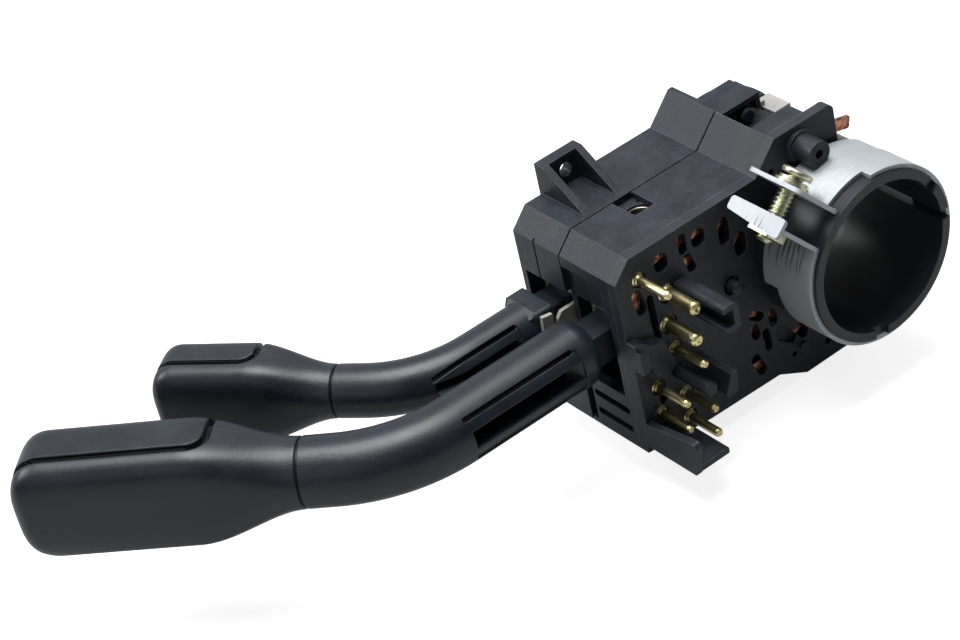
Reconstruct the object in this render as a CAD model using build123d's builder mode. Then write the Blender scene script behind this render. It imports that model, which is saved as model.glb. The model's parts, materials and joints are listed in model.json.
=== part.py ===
from build123d import *
import math
import os

# Combination stalk switch for a steering column, in millimetres.
# +X runs from the column out along the stalks, +Y runs along the column away from the driver,
# +Z is up. The origin is on the column's axis, in the plane of the clamp band's front edge.

# ---- fits ----
press_gap = 0.05        # radial, between pieces fixed to each other by a spigot, a pin or a thread
run_gap = 0.06          # radial, of a pin that turns or a plunger that slides
free_gap = 0.3          # between a moving piece and the next one
screw_gap = 0.2         # radial, of a screw in a plain hole

# ---- steering column collar ----
column_r = 20.0
collar_wall = 2.4
collar_front_y = 1.0
collar_step_y = -30.4
collar_step = 0.5
rim_notch_width = 4.0
rim_notch_depth = 1.6
rim_notch_angles = (148, -80)
slit_angle = 178
slit_width = 2.6
slit_length = 25.0
flange_r = 24.0
flange_thickness = 1.6
collar_r = column_r + collar_wall

# ---- clamp band ----
band_gauge = 1.1
band_front_y = 0.0
band_width = 18.5
band_side_width = 16.5
band_narrow_width = 12.0
band_step_angle = -3
band_side_angle = 30
band_wide_angle = 125
band_notch_angles = (60, 90)
band_notch_depth = 3.0
band_foot_angles = (-126, -99)
band_foot_depth = 2.0
ear_angle = 49.3
upper_ear_side = 3.2
lower_ear_side = 5.8
upper_ear_tip_r = 37.6
lower_ear_tip_r = 37.4
ear_corner_r = 2.2
lip_top = 2.2           # of the lip across the lower ear's tip, above the ear
lip_front_drop = 2.9    # and below the ear, at its front and rear ends
lip_rear_drop = 1.3
lip_corner_r = 1.0
band_inner_r = collar_r + press_gap
band_outer_r = band_inner_r + band_gauge

# ---- clamp screw ----
clamp_screw_r = 2.3
clamp_screw_reach = lower_ear_tip_r - 6.4
clamp_screw_y = -9.0
clamp_screw_tip = -10.4
clamp_washer_height = 0.9
clamp_washer_r = (4.6, 3.9)
clamp_nut_width = 7.0
clamp_nut_height = 2.0
clamp_head_r = 4.1
clamp_head_height = 2.0
clamp_recess_width = 1.1
clamp_recess_depth = 1.2

# ---- casing ----
wall = 2.0
end_wall = 2.6
floor_thickness = 2.0
plate_y = -20.0
plate_thickness = 3.0
seam_y = -41.5
back_y = -59.0
end_x = 64.5
end_chamfer = 5.0
collar_side_x = -8.2
deck_z = 25.0
crest_z = 32.4
crest_foot_x = 18.7
crest_x = 11.2
crest_corner = 2.0
crest_end_x = -1.1
end_bottom_z = -30.5
belly_x = 44.0
belly_z = -32.7
keel_foot_x = 21.0
keel_foot_z = -33.4
keel_x = 12.3
keel_z = -38.0
collar_sleeve = 2.0
rim_y = plate_y - plate_thickness
front_floor_y = seam_y + floor_thickness
rear_floor_y = back_y + floor_thickness
collar_hole_r = collar_r + press_gap
sleeve_r = collar_hole_r + collar_sleeve
under_deck_z = deck_z - wall
end_room_x = end_x - end_wall

# ---- stalk mouths in the end wall ----
stalk_z = -0.5
mouth_top_z = 8.2
mouth_bottom_z = -15.3
mouth_front_y = -25.0
end_recess = 1.6
end_recess_front_y = -26.6
end_recess_top_z = 17.0
louvre_z = (-19.9, -25.5)
louvre_height = 2.2
louvre_front_y = -24.4
louvre_rear_y = -38.0
end_groove_y = -38.6
end_groove_height = 14.0
rear_mouth_top_z = 9.0
rear_panel_y = -50.8
rear_panel_groove = 0.6
seam_groove = 0.5

# ---- deck and crest ----
window_width = 6.2
window_front_y = -32.5
pocket_front_y = -28.2
pocket_floor_z = 25.4
box_front_y = -38.8
box_rear_y = -47.5
box_side_x = -1.2
box_wall = 1.4
box_floor_z = 23.9
box_gap = 0.1
pawl_slot_top_z = 28.0

# ---- mounting ear on the back ----
ear_left_x = 53.9
ear_right_x = 41.3
ear_top_z = 33.4
ear_plate = 3.4
ear_proud = 1.0
ear_gusset = 2.0
ear_gusset_front_y = -43.0
ear_back_y = back_y - ear_proud
ear_hole_r = 1.9
ear_hole_x = 47.3
ear_hole_z = 29.4

# ---- casing screws, x and z ----
casing_screws = ((56.5, 16.5), (23.5, 19.0), (57.5, -24.0), (25.5, -27.0))
casing_screw_r = 1.5
casing_head_r = 3.0
casing_head_height = 2.0
casing_slot_width = 0.9
casing_slot_depth = 0.9
screw_boss_r = 3.0
screw_boss_y = -26.0
screw_tip_y = -30.0

# ---- terminals and copper strips, x and z ----
terminal_reach = 11.0
small_pin_r = 1.15
large_pin_r = 1.75
pin_foot_extra = 0.5
pin_recess_extra = 1.0
pin_recess_depth = 1.4
channel_depth = 1.2
pin_foot_height = 1.6
pin_point = 0.5
small_pins = ((57.4, 17.9), (50.7, -6.5), (57.9, -14.2), (50.0, -20.6), (58.4, -21.8), (50.2, -28.0))
large_pins = ((50.2, 9.8), (51.4, 1.2))
strip_thickness = 0.8
strip_half_width = 1.4
strip_eye = 0.7
stake_height = 0.3
strip_back_y = rim_y + channel_depth - strip_thickness
terminal_strips = {
    "left_turn_strip": (small_pin_r, ((57.4, 17.9), (58.9, 8.5)), ((57.4, 17.9), (48.0, 20.0), (37.5, 19.6))),
    "flasher_feed_strip": (large_pin_r, ((50.2, 9.8), (43.0, 13.2), (34.0, 14.0), (30.6, 18.5))),
    "supply_strip": (large_pin_r, ((51.4, 1.2), (46.0, 5.5), (31.0, 7.0), (26.3, 12.2))),
    "right_turn_strip": (small_pin_r, ((50.7, -6.5), (40.0, -8.4), (31.0, -10.5), (24.0, -12.5))),
    "flash_strip": (small_pin_r, ((57.9, -14.2), (57.0, -18.0))),
    "dip_strip": (small_pin_r, ((50.0, -20.6), (38.0, -18.2), (26.6, -16.6), (19.6, -16.4))),
    "main_beam_strip": (small_pin_r, ((58.4, -21.8), (54.5, -24.3), (38.0, -24.3), (24.0, -22.6))),
    "parking_strip": (small_pin_r, ((50.2, -28.0), (36.0, -29.1), (18.0, -28.0), (11.6, -24.0))),
}
rear_strips = (((44.0, 7.2), (34.0, 7.2), (27.5, 11.0)), ((44.0, -8.2), (34.0, -8.2), (27.5, -12.0)))
horn_tab_path = ((-4.6, 24.5), (-8.5, 24.3), (-15.0, 22.8))
horn_tab_half_width = 1.7
horn_tab_back_y = -22.6

# ---- openings in the terminal plate: x, z, length, width, turn ----
plate_windows = (
    (50.4, 18.8, 5.4, 4.2, 80),
    (43.3, 20.0, 6.0, 2.6, 90),
    (38.4, 19.2, 5.2, 4.2, 90),
    (30.6, 16.6, 8.0, 3.6, 90),
    (42.1, 13.9, 6.0, 2.4, 75),
    (26.3, 10.4, 7.0, 3.8, 90),
    (58.6, 11.8, 7.6, 3.2, 80),
    (55.3, 5.2, 14.0, 2.2, 88),
    (57.1, -17.9, 3.4, 2.2, 80),
    (25.2, -12.4, 5.2, 2.6, 35),
    (26.3, -16.6, 5.0, 2.8, 80),
    (20.3, -15.6, 5.4, 2.8, 85),
    (23.0, -21.0, 7.0, 2.4, 85),
    (12.0, -24.6, 5.6, 3.2, 65),
    (26.8, -26.6, 7.4, 3.0, 70),
)
plate_holes = ((13.7, 24.0, 1.0), (15.3, -30.3, 0.9), (4.0, -32.7, 1.2))
plate_pegs = ((31.0, 0.6, 1.8, 3.2), (12.6, -29.0, 1.3, 1.2), (51.8, -12.3, 1.85, 13.5))
peg_ring = 0.8
peg_ring_depth = 1.5
plate_recess = ((20.2, -17.9), (19.8, -23.4), (15.0, -27.2), (13.4, -24.8), (16.6, -20.4))
plate_recess_depth = 1.6
plate_boss = (3.8, 26.6)
plate_boss_foot_r = 4.2
plate_boss_foot = 1.0
plate_boss_r = 3.4
plate_boss_height = 7.0
plate_boss_hole_r = 1.25
plate_boss_hole_depth = 6.0
shroud_wall = 1.9
shroud_reach = 20.2
shroud_slant = 2.0
shroud_root_z = -21.2
shroud_tip_z = -18.0
shroud_corner_r = 1.4
shroud_floor_top_z = -26.6
shroud_floor_thickness = 1.6
shroud_floor_x = 53.5
shroud_floor_reach = 18.0
rail_reach = 17.5
rail_x = (43.2, 47.8)
rail_z = (3.6, 11.2)
rail_wall = 1.6
rail_corner_r = 1.2
tab_reach = 11.5
tab_outline = ((42.4, -13.2), (44.2, -13.2), (46.6, -18.0), (45.8, -19.3), (43.0, -18.8))
fin_reach = 3.0
fin_outline = (
    (64.5, 3.4),
    (61.9, 2.9),
    (59.3, 0.8),
    (55.8, 0.1),
    (53.3, -7.7),
    (56.5, -10.7),
    (60.0, -7.5),
    (62.2, -1.2),
    (64.5, -2.0),
)
knob_reach = 4.6
knob_outline = ((64.5, 1.8), (62.3, 0.6), (61.8, -2.8), (62.6, -4.4), (64.5, -4.4))
border_reach = 1.2
border_outline = ((64.5, -3.6), (62.4, -4.4), (61.2, -21.2), (64.5, -21.2))

# ---- shared by the two stalk mechanisms ----
pivot_x = 47.0
pivot_pin_r = 2.0
pivot_seat = 1.2
lever_x = 56.0
lever_pin_r = 1.4
lever_pin_grip = 1.6
fork_end_x = 60.2
fork_slot_x = 52.0
carrier_front = 6.8
carrier_rear = 6.6
stop_gap = 0.5
pull_gap = 0.75
cheek = 2.2
cam_r = 9.7
cam_thickness = 5.0
cam_from, cam_to = 80, 142
cam_notch_r = 0.6
turn_steps = 11
detent_x = 43.3
detent_offset = 3.0
detent_r = 4.0
detent_tip_r = 1.2
detent_cone = 2.8
detent_land = 3.5
detent_nub_r = 2.3
detent_nub = 1.5
guide_wall = 1.2
guide_bottom_z = 12.5
spring_wire_r = 0.45
detent_spring_turns = 5
shank_start_x = 52.8
return_bore_r = 2.3
return_bore_depth = 10.0
return_plunger_length = 3.6
return_spring_r = 1.7
return_wire_r = 0.35
return_spring_turns = 6
bridge_gauge = 0.4
bridge_x = (41.2, 44.2)
bridge_half_height = 3.6
bridge_dome_z = 2.4
bridge_dome_r = 0.9
bridge_dome_height = 0.3

# ---- cancelling pawl ----
pawl_x = 3.3
pawl_z = 27.8
pawl_post_r = 2.1
pawl_post_front_y = -38.2
pawl_hub_r = 3.1
pawl_hub_y = (-45.6, -42.2)
pawl_arm_z = (25.0, 26.6)
pawl_arm_end_x = -5.2
pawl_plate_z = (23.6, 25.2)
pawl_plate_x = -4.2
pawl_plate_front_y = -37.6
pawl_nose_x = (-9.4, -6.8)
pawl_nose_tip_z = 18.6
pawl_well_x = -2.8
pawl_swing_room = 1.9
pawl_spring_wire_r = 0.25
pawl_spring_turns = 3
pawl_spring_length = 2.0

# ---- main stalk ----
main_axis_y = -31.5
main_tube_r = 8.7
main_root_x = 68.5
main_knuckle_round = 4.5
main_shank_half = 4.6
main_bend_x = 124.4
main_bend_angle = 44.3
main_bend_r = 40.0
main_neck_distance = 23.4
main_spigot_r = 5.0
main_grip_length = 71.6
main_grip_half_height = 14.2
main_grip_half_thickness = 11.1
main_grip_corner = 6.0
main_grip_tip = 8.0
main_flare = 25.0
main_cap_start = 21.3
main_cap_edge = 5.8
main_cap_corner = 5.5
main_core_x = (75.4, 109.0)
main_core_z = (-1.6, 3.2)
main_core_depth = 11.0
main_slot_x = (76.4, 109.8)
main_slot_angle = 47.0

# ---- small stalk ----
small_axis_y = -50.0
small_tube_r = 6.7
small_root_x = 70.0
small_knuckle_round = 2.5
small_shank_half = 4.2
small_bend_x = 103.8
small_bend_angle = 51.0
small_bend_r = 32.0
small_neck_distance = 21.6
small_spigot_r = 3.8
small_grip_length = 46.3
small_grip_half_height = 11.5
small_grip_half_thickness = 8.6
small_grip_corner = 4.8
small_grip_tip = 6.0
small_flare = 19.0
small_cap_start = 19.6
small_cap_edge = 3.4
small_cap_corner = 4.5
small_core_x = (77.5, 103.0)
small_core_z = (-2.6, 2.6)
small_core_depth = 8.5
small_slot_x = (77.8, 103.2)
small_slot_angle = 52.0
small_shoulder_x = (67.6, 74.0)
small_shoulder_half = 6.5
small_shoulder_chamfer = 1.5
tongue_thickness = 1.1
tongue_outline = (
    (57.0, -2.0),
    (72.8, -2.0),
    (72.2, 5.4),
    (69.1, 4.9),
    (69.0, -1.0),
    (68.2, -1.0),
    (67.8, 2.4),
    (66.4, 4.0),
    (57.0, 4.0),
)

# ---- shared by the two stalks ----
neck_ring_length = 2.0
neck_ring_step = 0.5
spigot_length = 14.0
groove_width = 1.5
groove_depth = 1.8
slot_width = 1.2
slot_depth = 3.0
core_rib = 0.7
core_rib_depth = 1.0
core_ramp = 3.4
face_depth = 0.45
face_below = -36
tip_round = 3.4
flare_steps = (0.34, 0.67, 1)
round_slack = 0.01
grip_wall = 3.2


def at_y(y):
    # sketch plane across the column at y: sketch x is X, sketch y is Z, extrusion goes to -Y
    return Plane.XZ.offset(-y)


def at_x(x):
    # sketch plane across the stalks at x: sketch x is Y, sketch y is Z, extrusion goes to +X
    return Plane.YZ.offset(x)


def polar(radius, degrees):
    return radius * math.cos(math.radians(degrees)), radius * math.sin(math.radians(degrees))


def sector(start, end, radius, mode):
    # a wedge from the origin, wide enough to cut or keep everything within the radius
    reach = 2 * radius
    steps = math.ceil((end - start) / 60)
    rim = [polar(reach, start + (end - start) * k / steps) for k in range(steps + 1)]
    Polygon((0, 0), *rim, align=None, mode=mode)


def slots(path, width, mode=Mode.ADD):
    # a strip with round corners along a line of points
    for start, end in zip(path, path[1:]):
        run = (end[0] - start[0], end[1] - start[1])
        with Locations(((start[0] + end[0]) / 2, (start[1] + end[1]) / 2)):
            SlotCenterToCenter(math.hypot(*run), width, rotation=math.degrees(math.atan2(run[1], run[0])), mode=mode)


def coil(radius, wire_r, start, direction, length, turns):
    # a wire spring whose end coils stay inside its length
    run = Vector(*direction)
    with BuildLine() as path:
        Helix(
            pitch=(length - 2 * wire_r) / turns,
            height=length - 2 * wire_r,
            radius=radius,
            center=Vector(*start) + run * wire_r,
            direction=direction,
        )
    with BuildPart() as spring:
        with BuildSketch(Plane(origin=path.line @ 0, z_dir=path.line % 0)):
            Circle(wire_r)
        sweep(path=path.line, is_frenet=True)
    return spring.part


# ---- casing outline, seen along the column ----
with BuildSketch() as casing:
    with BuildLine():
        Polyline(
            (end_x, end_bottom_z),
            (end_x, deck_z - end_chamfer),
            (end_x - end_chamfer, deck_z),
            (crest_foot_x, deck_z),
            (crest_x, crest_z),
            (collar_side_x, crest_z),
            (collar_side_x, keel_z),
            (keel_x, keel_z),
            (keel_foot_x, keel_foot_z),
            (belly_x, belly_z),
            close=True,
        )
    make_face()
    fillet(casing.vertices().group_by(Axis.Y)[-1].sort_by(Axis.X)[0], crest_corner)

# the room inside one tray, round the collar's sleeve and short of the thick end wall
with BuildSketch() as room:
    add(casing.sketch)
    offset(amount=-wall, kind=Kind.INTERSECTION)
    Circle(sleeve_r, mode=Mode.SUBTRACT)
    with Locations((end_room_x, 0)):
        Rectangle(end_x, 4 * end_x, align=(Align.MIN, Align.CENTER), mode=Mode.SUBTRACT)

# the same room kept below the deck, away from the crest
with BuildSketch() as low_room:
    add(room.sketch)
    with Locations((0, under_deck_z)):
        Rectangle(4 * end_x, 2 * deck_z, align=(Align.CENTER, Align.MIN), mode=Mode.SUBTRACT)


def detent_guide(axis_y, radius):
    # round column between the guide's open lower end and the deck
    with BuildPart() as column:
        with BuildSketch(Plane.XY.offset(guide_bottom_z)):
            with Locations((detent_x, axis_y - detent_offset)):
                Circle(radius)
        extrude(amount=under_deck_z - guide_bottom_z)
    return column.part


guide_r = detent_r + run_gap
main_guide = detent_guide(main_axis_y, guide_r + guide_wall)
main_guide_bore = detent_guide(main_axis_y, guide_r)
small_guide = detent_guide(small_axis_y, guide_r + guide_wall)
small_guide_bore = detent_guide(small_axis_y, guide_r)

# opening beside the collar for the nose of the cancelling pawl, and its play
with BuildPart() as pawl_well:
    with BuildSketch(at_y(pawl_plate_front_y + free_gap)):
        with Locations((pawl_well_x, 0)):
            Rectangle(end_x, 2 * crest_z, align=(Align.MAX, Align.MIN))
    extrude(amount=pawl_plate_front_y - pawl_hub_y[0] + 2 * free_gap)

# ---- front housing: the tray of the main stalk, open towards the terminal plate ----
with BuildPart() as front_housing:
    with BuildSketch(at_y(rim_y)):
        add(casing.sketch)
        Circle(collar_hole_r, mode=Mode.SUBTRACT)
    extrude(amount=rim_y - seam_y)
    with BuildSketch(at_y(rim_y)):
        add(low_room.sketch)
    extrude(amount=rim_y - front_floor_y, mode=Mode.SUBTRACT)
    # the crest stops short of the collar's side, where the terminal plate stands alone
    with BuildSketch(at_y(rim_y)):
        with Locations((crest_end_x, pocket_floor_z)):
            Rectangle(end_x, crest_z, align=(Align.MAX, Align.MIN))
    extrude(amount=rim_y - seam_y, mode=Mode.SUBTRACT)
    # groove round the seam with the rear housing
    with BuildSketch(at_y(seam_y + seam_groove)):
        add(casing.sketch)
        offset(objects=casing.sketch, amount=-seam_groove, kind=Kind.INTERSECTION, mode=Mode.SUBTRACT)
    extrude(amount=seam_groove, mode=Mode.SUBTRACT)
    # the sleeve round the collar stops short of the terminal plate, where copper strips run
    with BuildSketch(at_y(rim_y)):
        Circle(sleeve_r + free_gap)
    extrude(amount=rim_y - screw_boss_y, mode=Mode.SUBTRACT)
    # screw bosses stand on the floor of the tray
    with BuildSketch(at_y(screw_boss_y)):
        with Locations(*casing_screws):
            Circle(screw_boss_r)
    extrude(amount=screw_boss_y - front_floor_y)
    with BuildSketch(at_y(screw_tip_y)):
        with Locations(*casing_screws):
            Circle(casing_screw_r + press_gap)
    extrude(amount=screw_tip_y - seam_y, mode=Mode.SUBTRACT)
    add(main_guide)
    add(main_guide_bore, mode=Mode.SUBTRACT)
    # the pivot pin passes through the floor
    with BuildSketch(at_y(front_floor_y)):
        with Locations((pivot_x, stalk_z)):
            Circle(pivot_pin_r + press_gap)
    extrude(amount=floor_thickness, mode=Mode.SUBTRACT)
    # stalk mouth
    with BuildSketch(at_y(mouth_front_y)):
        with Locations((end_x, mouth_bottom_z)):
            Rectangle(4 * end_wall, mouth_top_z - mouth_bottom_z, align=(Align.CENTER, Align.MIN))
    extrude(amount=mouth_front_y - front_floor_y, mode=Mode.SUBTRACT)
    # the end wall stands back round and above the mouth
    with BuildSketch(at_y(end_recess_front_y)):
        with Locations((end_x, mouth_bottom_z)):
            Rectangle(2 * end_recess, end_recess_top_z - mouth_bottom_z, align=(Align.CENTER, Align.MIN))
    extrude(amount=end_recess_front_y - seam_y, mode=Mode.SUBTRACT)
    # louvres below the mouth, and the groove that sets the end wall off from the rear housing
    with BuildSketch(at_x(end_x)):
        with Locations(*[((louvre_front_y + louvre_rear_y) / 2, z) for z in louvre_z]):
            SlotOverall(louvre_front_y - louvre_rear_y, louvre_height)
    extrude(amount=-2 * end_wall, mode=Mode.SUBTRACT)
    with BuildSketch(at_y(end_groove_y)):
        with Locations((end_x, mouth_bottom_z)):
            Rectangle(2 * end_recess, end_groove_height, align=(Align.CENTER, Align.MAX))
    extrude(amount=end_groove_y - seam_y, mode=Mode.SUBTRACT)
    # window in the deck over the detent spring
    with BuildSketch(Plane.XY.offset(deck_z)):
        with Locations((detent_x, seam_y)):
            Rectangle(window_width, window_front_y - seam_y, align=(Align.CENTER, Align.MIN))
    extrude(amount=-wall, mode=Mode.SUBTRACT)
    # pocket in the crest in front of the rear housing's pawl box
    with BuildSketch(at_y(pocket_front_y)):
        with Locations((crest_x, pocket_floor_z)):
            Rectangle(end_x, crest_z, align=(Align.MAX, Align.MIN))
    extrude(amount=pocket_front_y - seam_y, mode=Mode.SUBTRACT)
    add(pawl_well.part, mode=Mode.SUBTRACT)

# ---- rear housing: the tray of the small stalk, with the pawl box and the mounting ear ----
with BuildPart() as rear_housing:
    with BuildSketch(at_y(seam_y)):
        add(casing.sketch)
        Circle(collar_hole_r, mode=Mode.SUBTRACT)
    extrude(amount=seam_y - back_y)
    with BuildSketch(at_y(seam_y)):
        add(low_room.sketch)
    extrude(amount=seam_y - rear_floor_y, mode=Mode.SUBTRACT)
    # the crest is left only as the pawl box and a web along its slope
    with BuildSketch(at_y(seam_y)):
        with Locations((box_side_x, pocket_floor_z)):
            Rectangle(end_x, crest_z, align=(Align.MAX, Align.MIN))
    extrude(amount=seam_y - back_y, mode=Mode.SUBTRACT)
    with BuildSketch(at_y(box_rear_y)):
        with Locations((crest_x - box_wall, deck_z)):
            Rectangle(end_x, crest_z, align=(Align.MAX, Align.MIN))
    extrude(amount=box_rear_y - back_y, mode=Mode.SUBTRACT)
    # the box reaches forward over the front housing's pocket
    with BuildSketch(at_y(box_front_y)):
        with Locations((box_side_x, pocket_floor_z + box_gap)):
            Rectangle(crest_x - box_gap - box_side_x, crest_z - pocket_floor_z - box_gap, align=(Align.MIN, Align.MIN))
    extrude(amount=box_front_y - seam_y)
    with BuildSketch(at_y(box_front_y)):
        with Locations((box_side_x + box_wall, box_floor_z)):
            Rectangle(crest_x - 2 * box_wall - box_side_x, crest_z - box_wall - box_floor_z, align=(Align.MIN, Align.MIN))
    extrude(amount=box_front_y - (box_rear_y + box_wall), mode=Mode.SUBTRACT)
    with BuildSketch(at_y(box_front_y)):
        with Locations((box_side_x + box_wall, box_floor_z)):
            Rectangle(end_x, pawl_slot_top_z - box_floor_z, align=(Align.MAX, Align.MIN))
    extrude(amount=box_front_y - (box_rear_y + box_wall), mode=Mode.SUBTRACT)
    with BuildSketch(at_y(box_rear_y)):
        with Locations((pawl_x, pawl_z)):
            Circle(pawl_post_r + press_gap)
    extrude(amount=-2 * box_wall, mode=Mode.SUBTRACT)
    add(pawl_well.part, mode=Mode.SUBTRACT)
    # screw bosses
    with BuildSketch(at_y(seam_y)):
        with Locations(*casing_screws):
            Circle(screw_boss_r)
    extrude(amount=seam_y - rear_floor_y)
    with BuildSketch(at_y(seam_y)):
        with Locations(*casing_screws):
            Circle(casing_screw_r + screw_gap)
    extrude(amount=seam_y - back_y, mode=Mode.SUBTRACT)
    add(small_guide)
    add(small_guide_bore, mode=Mode.SUBTRACT)
    # blind seat of the pivot pin
    with BuildSketch(at_y(rear_floor_y)):
        with Locations((pivot_x, stalk_z)):
            Circle(pivot_pin_r + press_gap)
    extrude(amount=pivot_seat, mode=Mode.SUBTRACT)
    # stalk mouth and the joint line of the end panel
    with BuildSketch(at_y(seam_y)):
        with Locations((end_x, mouth_bottom_z)):
            Rectangle(4 * end_wall, rear_mouth_top_z - mouth_bottom_z, align=(Align.CENTER, Align.MIN))
    extrude(amount=seam_y - rear_floor_y, mode=Mode.SUBTRACT)
    with BuildSketch(at_y(rear_panel_y)):
        with Locations((end_x, rear_mouth_top_z)):
            Rectangle(2 * rear_panel_groove, deck_z, align=(Align.CENTER, Align.MIN))
    extrude(amount=rear_panel_groove, mode=Mode.SUBTRACT)
    # mounting ear: a plate with a gusset at each side
    with BuildSketch(at_y(ear_back_y)):
        with Locations((ear_right_x, deck_z - wall)):
            Rectangle(ear_left_x - ear_right_x, ear_top_z - deck_z + wall, align=(Align.MIN, Align.MIN))
    extrude(amount=-ear_plate)
    for gusset_x in (ear_right_x, ear_left_x - ear_gusset):
        with BuildSketch(at_x(gusset_x)):
            Polygon(
                (ear_back_y, deck_z),
                (ear_gusset_front_y, deck_z),
                (ear_back_y + ear_plate, ear_top_z),
                (ear_back_y, ear_top_z),
                align=None,
            )
        extrude(amount=ear_gusset)
    with BuildSketch(at_y(ear_back_y)):
        with Locations((ear_hole_x, ear_hole_z)):
            Circle(ear_hole_r)
    extrude(amount=-ear_plate, mode=Mode.SUBTRACT)

# ---- terminal plate ----
with BuildPart() as terminal_plate:
    with BuildSketch(at_y(plate_y)):
        add(casing.sketch)
        Circle(collar_hole_r, mode=Mode.SUBTRACT)
    extrude(amount=plate_thickness)
    # windows over the copper strips
    with BuildSketch(at_y(plate_y)):
        for x, z, length, width, turn in plate_windows:
            with Locations((x, z)):
                SlotOverall(length, width, rotation=turn)
        for x, z, radius in plate_holes:
            with Locations((x, z)):
                Circle(radius)
    extrude(amount=plate_thickness, mode=Mode.SUBTRACT)
    # the copper strips lie in channels on the back
    with BuildSketch(at_y(rim_y)):
        for radius, *paths in terminal_strips.values():
            for path in paths:
                slots(path, 2 * (strip_half_width + free_gap))
            with Locations(paths[0][0]):
                Circle(radius + strip_eye + free_gap)
    extrude(amount=-channel_depth, mode=Mode.SUBTRACT)
    # shallow recesses: one by itself, one round the first peg
    with BuildSketch(at_y(plate_y)):
        Polygon(*plate_recess, align=None)
    extrude(amount=plate_recess_depth, mode=Mode.SUBTRACT)
    with BuildSketch(at_y(plate_y)):
        with Locations(plate_pegs[0][:2]):
            Circle(plate_pegs[0][2] + peg_ring)
            Circle(plate_pegs[0][2], mode=Mode.SUBTRACT)
    extrude(amount=peg_ring_depth, mode=Mode.SUBTRACT)
    # pegs, the boss on the crest and its hole
    for x, z, radius, height in plate_pegs:
        with BuildSketch(at_y(plate_y)):
            with Locations((x, z)):
                Circle(radius)
        extrude(amount=-height)
        chamfer(terminal_plate.edges().group_by(Axis.Y)[-1], radius / 3)
    for radius, height in ((plate_boss_foot_r, plate_boss_foot), (plate_boss_r, plate_boss_height)):
        with BuildSketch(at_y(plate_y)):
            with Locations(plate_boss):
                Circle(radius)
            Circle(band_outer_r + free_gap, mode=Mode.SUBTRACT)
        extrude(amount=-height)
    with BuildSketch(at_y(plate_y + plate_boss_height)):
        with Locations(plate_boss):
            Circle(plate_boss_hole_r)
    extrude(amount=plate_boss_hole_depth, mode=Mode.SUBTRACT)
    # shroud below the terminals: a tapering side wall and a floor
    with BuildSketch(at_x(end_x)) as shroud_side:
        Polygon(
            (plate_y, shroud_root_z),
            (plate_y + shroud_reach, shroud_tip_z),
            (plate_y + shroud_reach - shroud_slant, shroud_floor_top_z - shroud_floor_thickness),
            (plate_y, shroud_floor_top_z - shroud_floor_thickness),
            align=None,
        )
        fillet(shroud_side.vertices().group_by(Axis.Y)[-1], shroud_corner_r)
    extrude(amount=-shroud_wall)
    with BuildSketch(at_y(plate_y)):
        with Locations((end_x, shroud_floor_top_z)):
            Rectangle(end_x - shroud_floor_x, shroud_floor_thickness, align=(Align.MAX, Align.MAX))
    extrude(amount=-shroud_floor_reach)
    # channel rail, open to the stalks' side
    with BuildSketch(at_y(plate_y)):
        with Locations((rail_x[0], (rail_z[0] + rail_z[1]) / 2)):
            RectangleRounded(
                rail_x[1] - rail_x[0], rail_z[1] - rail_z[0], rail_corner_r, align=(Align.MIN, Align.CENTER)
            )
        with Locations((rail_x[0] + rail_wall, (rail_z[0] + rail_z[1]) / 2)):
            Rectangle(
                rail_x[1],
                rail_z[1] - rail_z[0] - 2 * rail_wall,
                align=(Align.MIN, Align.CENTER),
                mode=Mode.SUBTRACT,
            )
    extrude(amount=-rail_reach)
    # slanting tab, the low fin beside the terminals, and the knob and border on the plate's edge
    for outline, reach in (
        (tab_outline, tab_reach),
        (fin_outline, fin_reach),
        (knob_outline, knob_reach),
        (border_outline, border_reach),
    ):
        with BuildSketch(at_y(plate_y)):
            Polygon(*outline, align=None)
        extrude(amount=-reach)
    # terminal pins stand in round recesses
    for radius, places in ((small_pin_r, small_pins), (large_pin_r, large_pins)):
        with BuildSketch(at_y(plate_y)):
            with Locations(*places):
                Circle(radius + pin_recess_extra)
        extrude(amount=pin_recess_depth, mode=Mode.SUBTRACT)
        with BuildSketch(at_y(plate_y)):
            with Locations(*places):
                Circle(radius + press_gap)
        extrude(amount=plate_thickness, mode=Mode.SUBTRACT)
    # blind seat of the pivot pin, and the slot that holds the horn tab
    with BuildSketch(at_y(rim_y + pivot_seat)):
        with Locations((pivot_x, stalk_z)):
            Circle(pivot_pin_r + press_gap)
    extrude(amount=pivot_seat, mode=Mode.SUBTRACT)
    with BuildSketch(at_y(horn_tab_back_y + strip_thickness)):
        slots(horn_tab_path, 2 * (horn_tab_half_width + press_gap))
    extrude(amount=strip_thickness, mode=Mode.SUBTRACT)

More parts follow.
